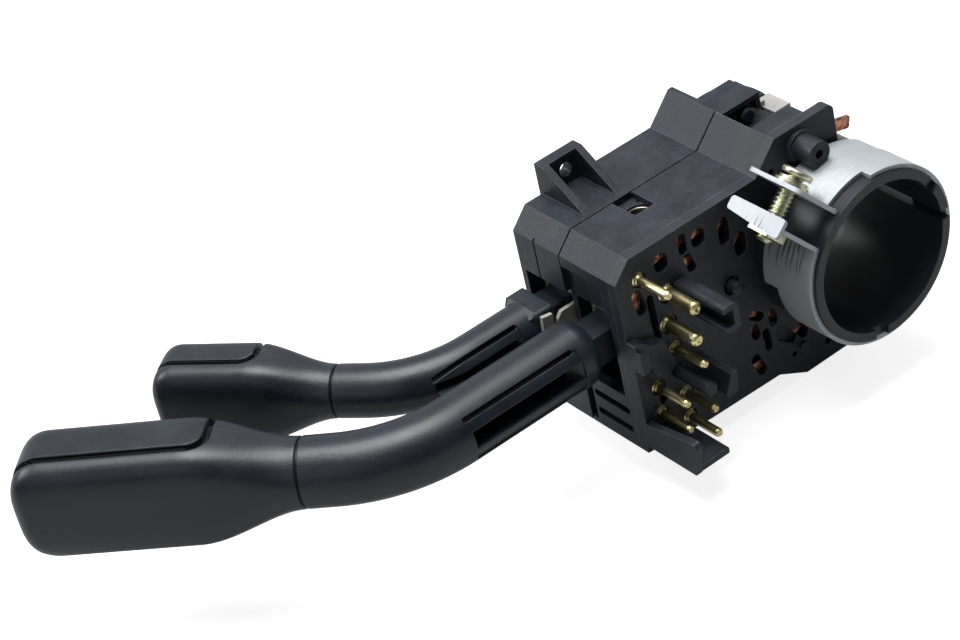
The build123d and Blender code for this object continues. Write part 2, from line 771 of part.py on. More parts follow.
# ---- collar on the column, with a flange behind the casing ----
with BuildPart() as column_collar:
    with BuildSketch(at_y(collar_front_y)):
        Circle(collar_r)
        Circle(column_r, mode=Mode.SUBTRACT)
    extrude(amount=collar_front_y - back_y)
    with BuildSketch(at_y(back_y)):
        Circle(flange_r)
        Circle(column_r + collar_step, mode=Mode.SUBTRACT)
    extrude(amount=flange_thickness)
    with BuildSketch(at_y(collar_step_y)):
        Circle(column_r + collar_step)
    extrude(amount=collar_step_y - back_y, mode=Mode.SUBTRACT)
    # the slit lets the band squeeze the collar onto the column
    with BuildSketch(Plane.XZ.offset(-collar_front_y)):
        with Locations(polar(collar_r, slit_angle)):
            Rectangle(4 * collar_wall, slit_width, rotation=slit_angle)
    extrude(amount=slit_length, mode=Mode.SUBTRACT)
    with BuildSketch(at_y(collar_front_y)):
        for angle in rim_notch_angles:
            with Locations(polar(collar_r, angle)):
                Rectangle(4 * collar_wall, rim_notch_width, rotation=angle)
    extrude(amount=rim_notch_depth, mode=Mode.SUBTRACT)
    # window for the nose of the cancelling pawl
    with BuildSketch(at_y(pawl_plate_front_y + free_gap)):
        with Locations((pawl_nose_x[0] - pawl_swing_room, 0)):
            Rectangle(pawl_nose_x[1] - pawl_nose_x[0] + 2 * pawl_swing_room, flange_r, align=(Align.MIN, Align.MIN))
    extrude(amount=pawl_plate_front_y - pawl_hub_y[0] + 2 * free_gap, mode=Mode.SUBTRACT)

# ---- clamp band: a strap bent out at both ends into ears ----
ear_out = polar(1, ear_angle)
ear_across = (-ear_out[1], 0, ear_out[0])


def along_ears(radius, side):
    # point in the plane of the band's front edge, out along the ears and to one side of their middle
    return (
        ear_out[0] * radius + ear_across[0] * side,
        band_front_y,
        ear_out[1] * radius + ear_across[2] * side,
    )


def ear_level(side):
    # plane of an ear: sketch x is out from the column, sketch y is Y, extrusion goes across the ears
    return Plane(origin=along_ears(0, side), x_dir=(ear_out[0], 0, ear_out[1]), z_dir=ear_across)


with BuildPart() as clamp_band:
    with BuildSketch(at_y(band_front_y)):
        Circle(band_outer_r)
        Circle(band_inner_r, mode=Mode.SUBTRACT)
    extrude(amount=band_width)
    with BuildSketch(ear_level(-lower_ear_side)):
        with Locations((0, band_front_y)):
            Rectangle(2 * flange_r, 2 * band_width, align=(Align.MIN, Align.CENTER))
    extrude(amount=lower_ear_side + upper_ear_side, mode=Mode.SUBTRACT)
    for side, gauge, tip_r in (
        (upper_ear_side, band_gauge, upper_ear_tip_r),
        (-lower_ear_side, -band_gauge, lower_ear_tip_r),
    ):
        with BuildSketch(ear_level(side)):
            with Locations((tip_r / 2, -band_width / 2)):
                RectangleRounded(tip_r, band_width, ear_corner_r)
        extrude(amount=gauge)
    # lip across the lower ear's tip, deeper at the front
    with BuildSketch(
        Plane(
            origin=along_ears(lower_ear_tip_r, -lower_ear_side),
            x_dir=(0, 1, 0),
            z_dir=(ear_out[0], 0, ear_out[1]),
        )
    ) as lip:
        Polygon(
            (0, lip_top),
            (-band_width, lip_top),
            (-band_width, -lip_rear_drop),
            (0, -lip_front_drop),
            align=None,
        )
        fillet(lip.vertices(), lip_corner_r)
    extrude(amount=-band_gauge)
    # the bore, and the foot of each ear in it
    with BuildSketch(at_y(band_front_y)):
        Circle(band_inner_r)
    extrude(amount=band_width, mode=Mode.SUBTRACT)
    # the strap is narrower away from the upper ear
    with BuildSketch(at_y(band_front_y - band_side_width)):
        sector(band_step_angle, band_side_angle, flange_r, Mode.ADD)
    extrude(amount=band_width, mode=Mode.SUBTRACT)
    with BuildSketch(at_y(band_front_y - band_narrow_width)):
        sector(band_wide_angle, 360 + band_step_angle, flange_r, Mode.ADD)
    extrude(amount=band_width, mode=Mode.SUBTRACT)
    for angles, depth in ((band_notch_angles, band_notch_depth), (band_foot_angles, band_foot_depth)):
        with BuildSketch(at_y(band_front_y)):
            sector(*angles, flange_r, Mode.ADD)
        extrude(amount=depth, mode=Mode.SUBTRACT)
    with BuildSketch(ear_level(0)):
        with Locations((clamp_screw_reach, clamp_screw_y)):
            Circle(clamp_screw_r + screw_gap)
    extrude(amount=flange_r, both=True, mode=Mode.SUBTRACT)

# ---- clamp screw, its washers and its nut: stacked along the line through both ears ----
def on_screw(height):
    # plane square to the clamp screw: origin on its axis, extrusion goes towards its head
    foot = along_ears(clamp_screw_reach, height)
    return Plane(origin=(foot[0], clamp_screw_y, foot[2]), x_dir=(ear_out[0], 0, ear_out[1]), z_dir=ear_across)


washer_seat = upper_ear_side + band_gauge
clamp_head_seat = washer_seat + len(clamp_washer_r) * clamp_washer_height
nut_seat = -lower_ear_side - band_gauge

with BuildPart() as clamp_screw:
    with BuildSketch(on_screw(clamp_screw_tip)):
        Circle(clamp_screw_r)
    extrude(amount=clamp_head_seat - clamp_screw_tip)
    with BuildSketch(on_screw(clamp_head_seat)):
        Circle(clamp_head_r)
    extrude(amount=clamp_head_height)
    fillet(clamp_screw.edges().group_by(Axis((0, 0, 0), ear_across))[-1], clamp_head_height / 3)
    with BuildSketch(on_screw(clamp_head_seat + clamp_head_height)):
        Rectangle(2 * clamp_head_r, clamp_recess_width)
        Rectangle(clamp_recess_width, clamp_head_r)
    extrude(amount=-clamp_recess_depth, mode=Mode.SUBTRACT)

with BuildPart() as clamp_washers:
    for k, radius in enumerate(clamp_washer_r):
        with BuildSketch(on_screw(washer_seat + k * clamp_washer_height)):
            Circle(radius)
            Circle(clamp_screw_r + screw_gap, mode=Mode.SUBTRACT)
        extrude(amount=clamp_washer_height)

with BuildPart() as clamp_nut:
    with BuildSketch(on_screw(nut_seat)):
        Rectangle(clamp_nut_width, clamp_nut_width)
        Circle(clamp_screw_r + press_gap, mode=Mode.SUBTRACT)
    extrude(amount=-clamp_nut_height)
    chamfer(clamp_nut.edges().filter_by(Axis((0, 0, 0), ear_across)), clamp_nut_height / 6)


def terminal_pins(label, radius, places):
    # flat-topped pins with a foot in the plate's recess and a staked end behind the copper strips
    foot_y = plate_y - pin_recess_depth
    with BuildPart() as pins:
        with BuildSketch(at_y(plate_y + terminal_reach)):
            with Locations(*places):
                Circle(radius)
        extrude(amount=plate_y + terminal_reach - (strip_back_y - stake_height))
        chamfer(pins.edges().group_by(Axis.Y)[-1], pin_point)
        with BuildSketch(at_y(foot_y + pin_foot_height)):
            with Locations(*places):
                Circle(radius + pin_foot_extra)
        extrude(amount=pin_foot_height)
    pins.part.label = label
    return pins.part


def copper_strip(label, back_y, paths, hole_r):
    # a stamped strip, holed for its terminal pin at the first point
    with BuildPart() as strip:
        with BuildSketch(at_y(back_y + strip_thickness)):
            for path in paths:
                slots(path, 2 * strip_half_width)
            if hole_r:
                with Locations(paths[0][0]):
                    Circle(hole_r + strip_eye)
                    Circle(hole_r + press_gap, mode=Mode.SUBTRACT)
        extrude(amount=strip_thickness)
    strip.part.label = label
    return strip.part


# ---- pieces shared in form by the two stalk mechanisms ----
def carrier(label, axis_y, shank_half, tongue):
    half = shank_half + free_gap + cheek
    with BuildPart() as body:
        with BuildSketch(at_y(axis_y + carrier_front)):
            with Locations((pivot_x, stalk_z)):
                Circle(half)
                Rectangle(fork_end_x - pivot_x, 2 * half, align=(Align.MIN, Align.CENTER))
        extrude(amount=carrier_front + carrier_rear)
        # tongue that shows in the stalk mouth
        if tongue:
            with BuildSketch(at_y(axis_y + carrier_front + tongue_thickness)):
                Polygon(*tongue, align=None)
            extrude(amount=tongue_thickness)
        # cam on top of the hub, notched for the middle and both end positions
        with BuildSketch(at_y(axis_y - detent_offset + cam_thickness / 2)):
            with Locations((pivot_x, stalk_z)):
                Circle(cam_r)
                sector(cam_to, cam_from + 360, cam_r, Mode.SUBTRACT)
                for turn in (-turn_steps, 0, turn_steps):
                    with Locations(polar(cam_r, detent_angle + turn)):
                        Circle(cam_notch_r, mode=Mode.SUBTRACT)
        extrude(amount=cam_thickness)
        with BuildSketch(at_x(fork_slot_x)):
            with Locations((axis_y + shank_half + stop_gap, stalk_z)):
                Rectangle(2 * shank_half + stop_gap + pull_gap, 2 * (shank_half + free_gap), align=(Align.MAX, Align.CENTER))
        extrude(amount=fork_end_x, mode=Mode.SUBTRACT)
        with BuildSketch(at_y(axis_y)):
            with Locations((pivot_x, stalk_z)):
                Circle(pivot_pin_r + run_gap)
        extrude(amount=2 * carrier_front, both=True, mode=Mode.SUBTRACT)
        with BuildSketch(Plane.XY.offset(stalk_z)):
            with Locations((lever_x, axis_y)):
                Circle(lever_pin_r + press_gap)
        extrude(amount=2 * half, both=True, mode=Mode.SUBTRACT)
    body.part.label = label
    return body.part


def lever_pins(label, axis_y, shank_half):
    with BuildPart() as pins:
        for side in (-1, 1):
            with BuildSketch(Plane.XY.offset(stalk_z + side * (shank_half - lever_pin_grip))):
                with Locations((lever_x, axis_y)):
                    Circle(lever_pin_r)
            extrude(amount=side * (lever_pin_grip + free_gap + cheek))
    pins.part.label = label
    return pins.part


def detent_plunger(label, axis_y):
    with BuildPart() as plunger:
        with BuildSketch(Plane(origin=(detent_x, axis_y - detent_offset, detent_tip_z), x_dir=(1, 0, 0), z_dir=(0, -1, 0))):
            with BuildLine():
                CenterArc((0, detent_tip_r), detent_tip_r, -90, 90)
                Polyline(
                    (detent_tip_r, detent_tip_r),
                    (detent_r, detent_tip_r + detent_cone),
                    (detent_r, detent_tip_r + detent_cone + detent_land),
                    (detent_nub_r, detent_tip_r + detent_cone + detent_land),
                    (detent_nub_r, detent_tip_r + detent_cone + detent_land + detent_nub),
                    (0, detent_tip_r + detent_cone + detent_land + detent_nub),
                    (0, 0),
                )
            make_face()
        revolve(axis=Axis((detent_x, axis_y - detent_offset, 0), (0, 0, 1)))
    plunger.part.label = label
    return plunger.part


def detent_spring(label, axis_y):
    spring = coil(
        detent_r - spring_wire_r,
        spring_wire_r,
        (detent_x, axis_y - detent_offset, detent_seat_z),
        (0, 0, 1),
        under_deck_z - detent_seat_z,
        detent_spring_turns,
    )
    spring.label = label
    return spring


def contact_bridge(label, axis_y):
    face_y = axis_y + carrier_front
    middle_x = (bridge_x[0] + bridge_x[1]) / 2
    with BuildPart() as bridge:
        with BuildSketch(at_y(face_y)):
            with Locations((middle_x, stalk_z)):
                RectangleRounded(bridge_x[1] - bridge_x[0], 2 * bridge_half_height, bridge_gauge)
        extrude(amount=-bridge_gauge)
        with BuildSketch(at_y(face_y + bridge_gauge)):
            with Locations((middle_x, stalk_z - bridge_dome_z), (middle_x, stalk_z + bridge_dome_z)):
                Circle(bridge_dome_r)
        extrude(amount=-bridge_dome_height, taper=30)
    bridge.part.label = label
    return bridge.part


def return_plunger(label, axis_y):
    with BuildPart() as plunger:
        with BuildSketch(at_x(fork_slot_x + free_gap)):
            with Locations((axis_y, stalk_z)):
                Circle(return_bore_r - run_gap)
        extrude(amount=return_plunger_length)
        fillet(plunger.edges().group_by(Axis.X)[0], return_bore_r / 3)
    plunger.part.label = label
    return plunger.part


def return_spring(label, axis_y):
    start_x = fork_slot_x + free_gap + return_plunger_length
    spring = coil(
        return_spring_r,
        return_wire_r,
        (start_x, axis_y, stalk_z),
        (1, 0, 0),
        shank_start_x + return_bore_depth - start_x,
        return_spring_turns,
    )
    spring.label = label
    return spring


class Reach:
    # where a stalk's grip starts and which way it runs
    def __init__(self, axis_y, bend_x, bend_angle, neck_distance):
        self.along = polar(1, -bend_angle)
        self.neck = (bend_x + neck_distance * self.along[0], axis_y + neck_distance * self.along[1])
        self.side = (-self.along[1], self.along[0])

    def across(self, distance):
        # plane square to the grip: sketch x is sideways away from the driver, sketch y is Z
        return Plane(
            origin=(self.neck[0] + distance * self.along[0], self.neck[1] + distance * self.along[1], stalk_z),
            x_dir=(self.side[0], self.side[1], 0),
            z_dir=(self.along[0], self.along[1], 0),
        )

    def side_on(self, distance):
        # upright plane beside the grip: sketch x runs along the grip, sketch y is Z
        return Plane(
            origin=(self.neck[0] + distance * self.side[0], self.neck[1] + distance * self.side[1], stalk_z),
            x_dir=(self.along[0], self.along[1], 0),
            z_dir=(-self.side[0], -self.side[1], 0),
        )

    def flat(self):
        # level plane: sketch x runs along the grip, sketch y sideways away from the driver
        return Plane(
            origin=(self.neck[0], self.neck[1], stalk_z),
            x_dir=(self.along[0], self.along[1], 0),
            z_dir=(0, 0, 1),
        )


def stalk_arm(label, reach, axis_y, tube_r, shank_half, root, bend, spigot_r, core, cut, shoulder):
    # shank in the carrier, round arm with a bend, spigot in the grip
    root_x, knuckle_round = root
    bend_x, bend_r = bend
    core_x, core_z, core_depth = core
    cut_x, cut_angle = cut
    front_y = axis_y + tube_r
    with BuildPart() as arm:
        with BuildLine(Plane.XY.offset(stalk_z)) as path:
            FilletPolyline((root_x, axis_y), (bend_x, axis_y), reach.neck, radius=bend_r)
        with BuildSketch(at_x(root_x)):
            with Locations((axis_y, stalk_z)):
                Circle(tube_r)
        sweep(path=path.line)
        fillet(arm.edges().group_by(Axis.X)[0], knuckle_round)
        with BuildSketch(at_x(shank_start_x)):
            with Locations((axis_y, stalk_z)):
                RectangleRounded(2 * shank_half, 2 * shank_half, lever_pin_r / 2)
        extrude(amount=root_x + knuckle_round - shank_start_x)
        if shoulder:
            start_x, finish_x, half, bevel = shoulder
            with BuildSketch(at_x(start_x)):
                with Locations((axis_y, stalk_z)):
                    RectangleRounded(2 * half, 2 * half, bevel)
            extrude(amount=finish_x - bevel - start_x)
            with BuildSketch(at_x(finish_x - bevel)):
                with Locations((axis_y, stalk_z)):
                    RectangleRounded(2 * half, 2 * half, bevel)
            extrude(amount=bevel, taper=45)
        with BuildSketch(reach.across(0)):
            Circle(spigot_r)
        extrude(amount=neck_ring_length + spigot_length)
        # sunk face with the cored-out side in it, the ramp at its root end and the narrow slot above it
        with BuildSketch(at_x(core_x[0])):
            with Locations((axis_y, stalk_z)):
                Circle(tube_r + face_depth)
                sector(face_below, cut_angle, tube_r, Mode.INTERSECT)
                Circle(tube_r - face_depth, mode=Mode.SUBTRACT)
        extrude(amount=core_x[1] - core_x[0], mode=Mode.SUBTRACT)
        with BuildSketch(at_y(front_y)):
            with Locations(((core_x[0] + core_x[1]) / 2, stalk_z + (core_z[0] + core_z[1]) / 2)):
                RectangleRounded(core_x[1] - core_x[0], core_z[1] - core_z[0], slot_width / 2)
        extrude(amount=core_depth, mode=Mode.SUBTRACT)
        with BuildSketch(Plane.XY.offset(stalk_z + core_z[0])):
            Polygon(
                (core_x[0], front_y - 2 * face_depth),
                (core_x[0] + core_ramp, front_y - 2 * face_depth - core_ramp),
                (core_x[0], front_y - 2 * face_depth - core_ramp),
                align=None,
            )
        extrude(amount=core_z[1] - core_z[0])
        if shoulder:
            with BuildSketch(at_y(front_y - core_rib_depth)):
                with Locations(((core_x[0] + core_x[1]) / 2, stalk_z)):
                    Rectangle(core_x[1] - core_x[0], core_rib)
            extrude(amount=core_depth - core_rib_depth)
        slant = polar(1, cut_angle)
        with BuildSketch(
            Plane(
                origin=((cut_x[0] + cut_x[1]) / 2, axis_y + slant[0] * tube_r, stalk_z + slant[1] * tube_r),
                x_dir=(1, 0, 0),
                z_dir=(0, slant[0], slant[1]),
            )
        ):
            SlotOverall(cut_x[1] - cut_x[0], slot_width)
        extrude(amount=-slot_depth, mode=Mode.SUBTRACT)
        # bores for the lever pins and the return plunger
        for side in (-1, 1):
            with BuildSketch(Plane.XY.offset(stalk_z + side * shank_half)):
                with Locations((lever_x, axis_y)):
                    Circle(lever_pin_r + run_gap)
            extrude(amount=-side * (lever_pin_grip + press_gap), mode=Mode.SUBTRACT)
        with BuildSketch(at_x(shank_start_x)):
            with Locations((axis_y, stalk_z)):
                Circle(return_bore_r)
        extrude(amount=return_bore_depth, mode=Mode.SUBTRACT)
    arm.part.label = label
    return arm.part


def neck_ring(label, reach, tube_r, spigot_r):
    with BuildPart() as ring:
        with BuildSketch(reach.across(0)):
            Circle(tube_r - neck_ring_step)
            Circle(spigot_r + press_gap, mode=Mode.SUBTRACT)
        extrude(amount=neck_ring_length)
    ring.part.label = label
    return ring.part


def grip_body(reach, tube_r, half_height, half_thickness, corner, tip_corner, flare, length, inset):
    # the whole grip as one rounded solid, or the same kept inside by the inset
    with BuildPart() as body:
        # the neck swells into the paddle in an easy S
        with BuildSketch(reach.across(neck_ring_length)):
            Circle(tube_r - inset)
        for part_way in flare_steps:
            ease = part_way**2 * (3 - 2 * part_way)
            thick = tube_r + (half_thickness - tube_r) * ease - inset
            high = tube_r + (half_height - tube_r) * ease - inset
            with BuildSketch(reach.across(neck_ring_length + (flare - neck_ring_length) * part_way)):
                RectangleRounded(2 * thick, 2 * high, thick + (corner - inset - thick) * ease - round_slack)
        loft()
        with BuildSketch(reach.across(flare)):
            RectangleRounded(2 * (half_thickness - inset), 2 * (half_height - inset), corner - inset - round_slack)
        extrude(amount=length - flare - inset)
        # the paddle's far corners are round when seen from the side
        with BuildSketch(reach.side_on(half_thickness)):
            with Locations((flare, 0)):
                Rectangle(2 * length, 2 * half_height, align=(Align.MIN, Align.CENTER))
            with Locations((length - inset, 0)):
                RectangleRounded(
                    2 * length, 2 * (half_height - inset), tip_corner - inset, align=(Align.MAX, Align.CENTER), mode=Mode.SUBTRACT
                )
        extrude(amount=-2 * half_thickness, mode=Mode.SUBTRACT)
        if not inset:
            tip_axis = Axis((0, 0, 0), (reach.along[0], reach.along[1], 0))
            fillet(body.faces().sort_by(tip_axis)[-1].edges(), tip_round)
    return body.part


def cap_zone(reach, cap, length, half_height, grow):
    # the corner region that the cap fills, grown by a margin
    cap_start, cap_edge, cap_corner = cap
    far = 2 * length
    with BuildPart() as zone:
        with BuildSketch(reach.flat()):
            with BuildLine():
                FilletPolyline(
                    (cap_start - grow, -far),
                    (cap_start - grow, cap_edge + grow),
                    (far, cap_edge + grow),
                    radius=cap_corner + grow,
                )
                Polyline((far, cap_edge + grow), (far, -far), (cap_start - grow, -far))
            make_face()
        extrude(amount=2 * half_height, both=True)
    return zone.part


def grip(labels, reach, tube_r, spigot_r, half_height, half_thickness, corners, flare, length, cap):
    # flared shell on the spigot and the cap on the driver's side, parted by a groove
    cap_start = cap[0]
    corner = corners[0]
    sizes = (tube_r, half_height, half_thickness, *corners, flare, length)
    outside = grip_body(reach, *sizes, 0)
    core = grip_body(reach, *sizes, groove_depth)
    zone = cap_zone(reach, cap, length, half_height, 0)
    wide_zone = cap_zone(reach, cap, length, half_height, groove_width / 2)
    narrow_zone = cap_zone(reach, cap, length, half_height, -groove_width / 2)
    with BuildPart() as groove:
        add(wide_zone)
        add(narrow_zone, mode=Mode.SUBTRACT)
        add(core, mode=Mode.SUBTRACT)
    with BuildPart() as hollow:
        with BuildSketch(reach.across(cap_start + grip_wall)):
            RectangleRounded(
                2 * (half_thickness - grip_wall), 2 * (half_height - grip_wall), corner - grip_wall
            )
        extrude(amount=length - cap_start - 2 * grip_wall)
    with BuildPart() as shell:
        add(outside)
        add(zone, mode=Mode.SUBTRACT)
        add(groove.part, mode=Mode.SUBTRACT)
        add(hollow.part, mode=Mode.SUBTRACT)
        with BuildSketch(reach.across(neck_ring_length)):
            Circle(spigot_r + press_gap)
        extrude(amount=spigot_length, mode=Mode.SUBTRACT)
    with BuildPart() as cap_part:
        add(outside)
        add(zone, mode=Mode.INTERSECT)
        add(groove.part, mode=Mode.SUBTRACT)
        add(hollow.part, mode=Mode.SUBTRACT)
    shell.part.label, cap_part.part.label = labels
    return [shell.part, cap_part.part]


detent_lean = detent_x - pivot_x
detent_angle = math.degrees(math.acos(detent_lean / cam_r))
detent_tip_z = stalk_z + math.sqrt((cam_r + free_gap + detent_tip_r) ** 2 - detent_lean**2) - detent_tip_r
detent_seat_z = detent_tip_z + detent_tip_r + detent_cone + detent_land

main_reach = Reach(main_axis_y, main_bend_x, main_bend_angle, main_neck_distance)
small_reach = Reach(small_axis_y, small_bend_x, small_bend_angle, small_neck_distance)
pieces = []
for name, axis_y, shank_half, tongue in (
    ("main", main_axis_y, main_shank_half, None),
    ("small", small_axis_y, small_shank_half, tongue_outline),
):
    pieces += [
        carrier(name + "_carrier", axis_y, shank_half, tongue),
        lever_pins(name + "_lever_pins", axis_y, shank_half),
        detent_plunger(name + "_detent_plunger", axis_y),
        detent_spring(name + "_detent_spring", axis_y),
        contact_bridge(name + "_contact_bridge", axis_y),
        return_plunger(name + "_return_plunger", axis_y),
        return_spring(name + "_return_spring", axis_y),
    ]
pieces += [
    stalk_arm(
        "main_stalk_arm",
        main_reach,
        main_axis_y,
        main_tube_r,
        main_shank_half,
        (main_root_x, main_knuckle_round),
        (main_bend_x, main_bend_r),
        main_spigot_r,
        (main_core_x, main_core_z, main_core_depth),
        (main_slot_x, main_slot_angle),
        None,
    ),
    neck_ring("main_neck_ring", main_reach, main_tube_r, main_spigot_r),
    stalk_arm(
        "small_stalk_arm",
        small_reach,
        small_axis_y,
        small_tube_r,
        small_shank_half,
        (small_root_x, small_knuckle_round),
        (small_bend_x, small_bend_r),
        small_spigot_r,
        (small_core_x, small_core_z, small_core_depth),
        (small_slot_x, small_slot_angle),
        (*small_shoulder_x, small_shoulder_half, small_shoulder_chamfer),
    ),
    neck_ring("small_neck_ring", small_reach, small_tube_r, small_spigot_r),
]
pieces += grip(
    ("main_grip_shell", "main_grip_cap"),
    main_reach,
    main_tube_r,
    main_spigot_r,
    main_grip_half_height,
    main_grip_half_thickness,
    (main_grip_corner, main_grip_tip),
    main_flare,
    main_grip_length,
    (main_cap_start, main_cap_edge, main_cap_corner),
)
pieces += grip(
    ("small_grip_shell", "small_grip_cap"),
    small_reach,
    small_tube_r,
    small_spigot_r,
    small_grip_half_height,
    small_grip_half_thickness,
    (small_grip_corner, small_grip_tip),
    small_flare,
    small_grip_length,
    (small_cap_start, small_cap_edge, small_cap_corner),
)

# ---- terminals and strips ----
pieces.append(terminal_pins("small_terminal_pins", small_pin_r, small_pins))
pieces.append(terminal_pins("large_terminal_pins", large_pin_r, large_pins))
for name, (radius, *paths) in terminal_strips.items():
    pieces.append(copper_strip(name, strip_back_y, paths, radius))
for name, path in zip(("wiper_feed_strip", "wiper_return_strip"), rear_strips):
    pieces.append(copper_strip(name, seam_y - strip_thickness, (path,), 0))
with BuildPart() as horn_tab:
    with BuildSketch(at_y(horn_tab_back_y + strip_thickness)):
        slots(horn_tab_path, 2 * horn_tab_half_width)
    extrude(amount=strip_thickness)

# ---- pivot pin of both carriers ----
with BuildPart() as pivot_pin:
    with BuildSketch(at_y(rim_y + pivot_seat)):
        with Locations((pivot_x, stalk_z)):
            Circle(pivot_pin_r)
    extrude(amount=rim_y + pivot_seat - (rear_floor_y - pivot_seat))

# ---- cancelling pawl on its post ----
with BuildPart() as cancel_pawl:
    with BuildSketch(at_y(pawl_hub_y[1])):
        with Locations((pawl_x, pawl_z)):
            Circle(pawl_hub_r)
        with Locations((pawl_arm_end_x, pawl_arm_z[0])):
            Rectangle(pawl_x - pawl_arm_end_x, pawl_arm_z[1] - pawl_arm_z[0], align=(Align.MIN, Align.MIN))
    extrude(amount=pawl_hub_y[1] - pawl_hub_y[0])
    with BuildSketch(at_y(pawl_plate_front_y)):
        with Locations((pawl_nose_x[0], pawl_plate_z[0])):
            Rectangle(pawl_plate_x - pawl_nose_x[0], pawl_plate_z[1] - pawl_plate_z[0], align=(Align.MIN, Align.MIN))
        with Locations((pawl_nose_x[0], pawl_nose_tip_z)):
            Rectangle(pawl_nose_x[1] - pawl_nose_x[0], pawl_plate_z[1] - pawl_nose_tip_z, align=(Align.MIN, Align.MIN))
    extrude(amount=pawl_plate_front_y - pawl_hub_y[0])
    with BuildSketch(at_y(pawl_plate_front_y)):
        with Locations((pawl_x, pawl_z)):
            Circle(pawl_post_r + run_gap)
    extrude(amount=pawl_plate_front_y - pawl_hub_y[0], mode=Mode.SUBTRACT)

with BuildPart() as cancel_pawl_post:
    with BuildSketch(at_y(pawl_post_front_y)):
        with Locations((pawl_x, pawl_z)):
            Circle(pawl_post_r)
    extrude(amount=pawl_post_front_y - box_rear_y)
    chamfer(cancel_pawl_post.edges().group_by(Axis.Y)[-1], pin_point)

cancel_pawl_spring = coil(
    pawl_post_r + free_gap + pawl_spring_wire_r,
    pawl_spring_wire_r,
    (pawl_x, pawl_hub_y[1] + free_gap, pawl_z),
    (0, 1, 0),
    pawl_spring_length,
    pawl_spring_turns,
)

# ---- casing screws from the back ----
with BuildPart() as back_screws:
    with BuildSketch(at_y(screw_tip_y)):
        with Locations(*casing_screws):
            Circle(casing_screw_r)
    extrude(amount=screw_tip_y - back_y)
    with BuildSketch(at_y(back_y)):
        with Locations(*casing_screws):
            Circle(casing_head_r)
    extrude(amount=casing_head_height)
    with BuildSketch(at_y(back_y - casing_head_height)):
        with Locations(*casing_screws):
            Rectangle(2 * casing_head_r, casing_slot_width)
    extrude(amount=-casing_slot_depth, mode=Mode.SUBTRACT)

for name, block in (
    ("front_housing", front_housing),
    ("rear_housing", rear_housing),
    ("terminal_plate", terminal_plate),
    ("column_collar", column_collar),
    ("clamp_band", clamp_band),
    ("clamp_screw", clamp_screw),
    ("clamp_washers", clamp_washers),
    ("clamp_nut", clamp_nut),
    ("horn_tab", horn_tab),
    ("pivot_pin", pivot_pin),
    ("cancel_pawl", cancel_pawl),
    ("cancel_pawl_post", cancel_pawl_post),
    ("casing_screws", back_screws),
):
    block.part.label = name
    pieces.append(block.part)
cancel_pawl_spring.label = "cancel_pawl_spring"
pieces.append(cancel_pawl_spring)

os.makedirs("parts", exist_ok=True)
for piece in pieces:
    export_step(piece, "parts/" + piece.label + ".step")
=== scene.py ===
import bpy
import json
import numpy as np
from mathutils import Matrix, Vector


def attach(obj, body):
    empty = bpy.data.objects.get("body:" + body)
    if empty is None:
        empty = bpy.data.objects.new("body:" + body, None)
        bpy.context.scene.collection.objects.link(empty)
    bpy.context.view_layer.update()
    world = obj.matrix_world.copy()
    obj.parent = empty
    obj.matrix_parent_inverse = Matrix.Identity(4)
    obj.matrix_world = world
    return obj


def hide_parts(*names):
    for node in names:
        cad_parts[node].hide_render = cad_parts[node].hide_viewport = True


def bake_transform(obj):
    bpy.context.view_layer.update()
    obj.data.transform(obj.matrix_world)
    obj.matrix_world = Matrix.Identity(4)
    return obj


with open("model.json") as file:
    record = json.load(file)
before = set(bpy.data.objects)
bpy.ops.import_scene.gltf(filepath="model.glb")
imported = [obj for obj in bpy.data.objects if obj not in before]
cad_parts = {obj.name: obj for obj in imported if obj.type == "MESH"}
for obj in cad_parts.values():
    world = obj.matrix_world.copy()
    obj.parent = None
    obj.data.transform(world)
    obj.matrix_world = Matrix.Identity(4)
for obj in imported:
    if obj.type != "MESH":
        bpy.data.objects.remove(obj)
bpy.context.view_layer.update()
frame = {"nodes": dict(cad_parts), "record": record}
nodes = frame["nodes"]
print("frame loaded,", len(nodes), "nodes")


class Sock:
    # a node's socket used like a number: + - and *, with their reflected forms, each add a Math node
    def __init__(self, shader, socket):
        self.shader = shader
        self.socket = socket

    def math(self, operation, other, flip=False):
        # self operation other, or other operation self when flipped
        first, second = (other, self) if flip else (self, other)
        return self.shader.add("ShaderNodeMath", {"operation": operation}, {0: first, 1: second})

    def __add__(self, other):
        return self.math("ADD", other)

    def __radd__(self, other):
        return self.math("ADD", other, True)

    def __sub__(self, other):
        return self.math("SUBTRACT", other)

    def __rsub__(self, other):
        return self.math("SUBTRACT", other, True)

    def __mul__(self, other):
        return self.math("MULTIPLY", other)

    def __rmul__(self, other):
        return self.math("MULTIPLY", other, True)


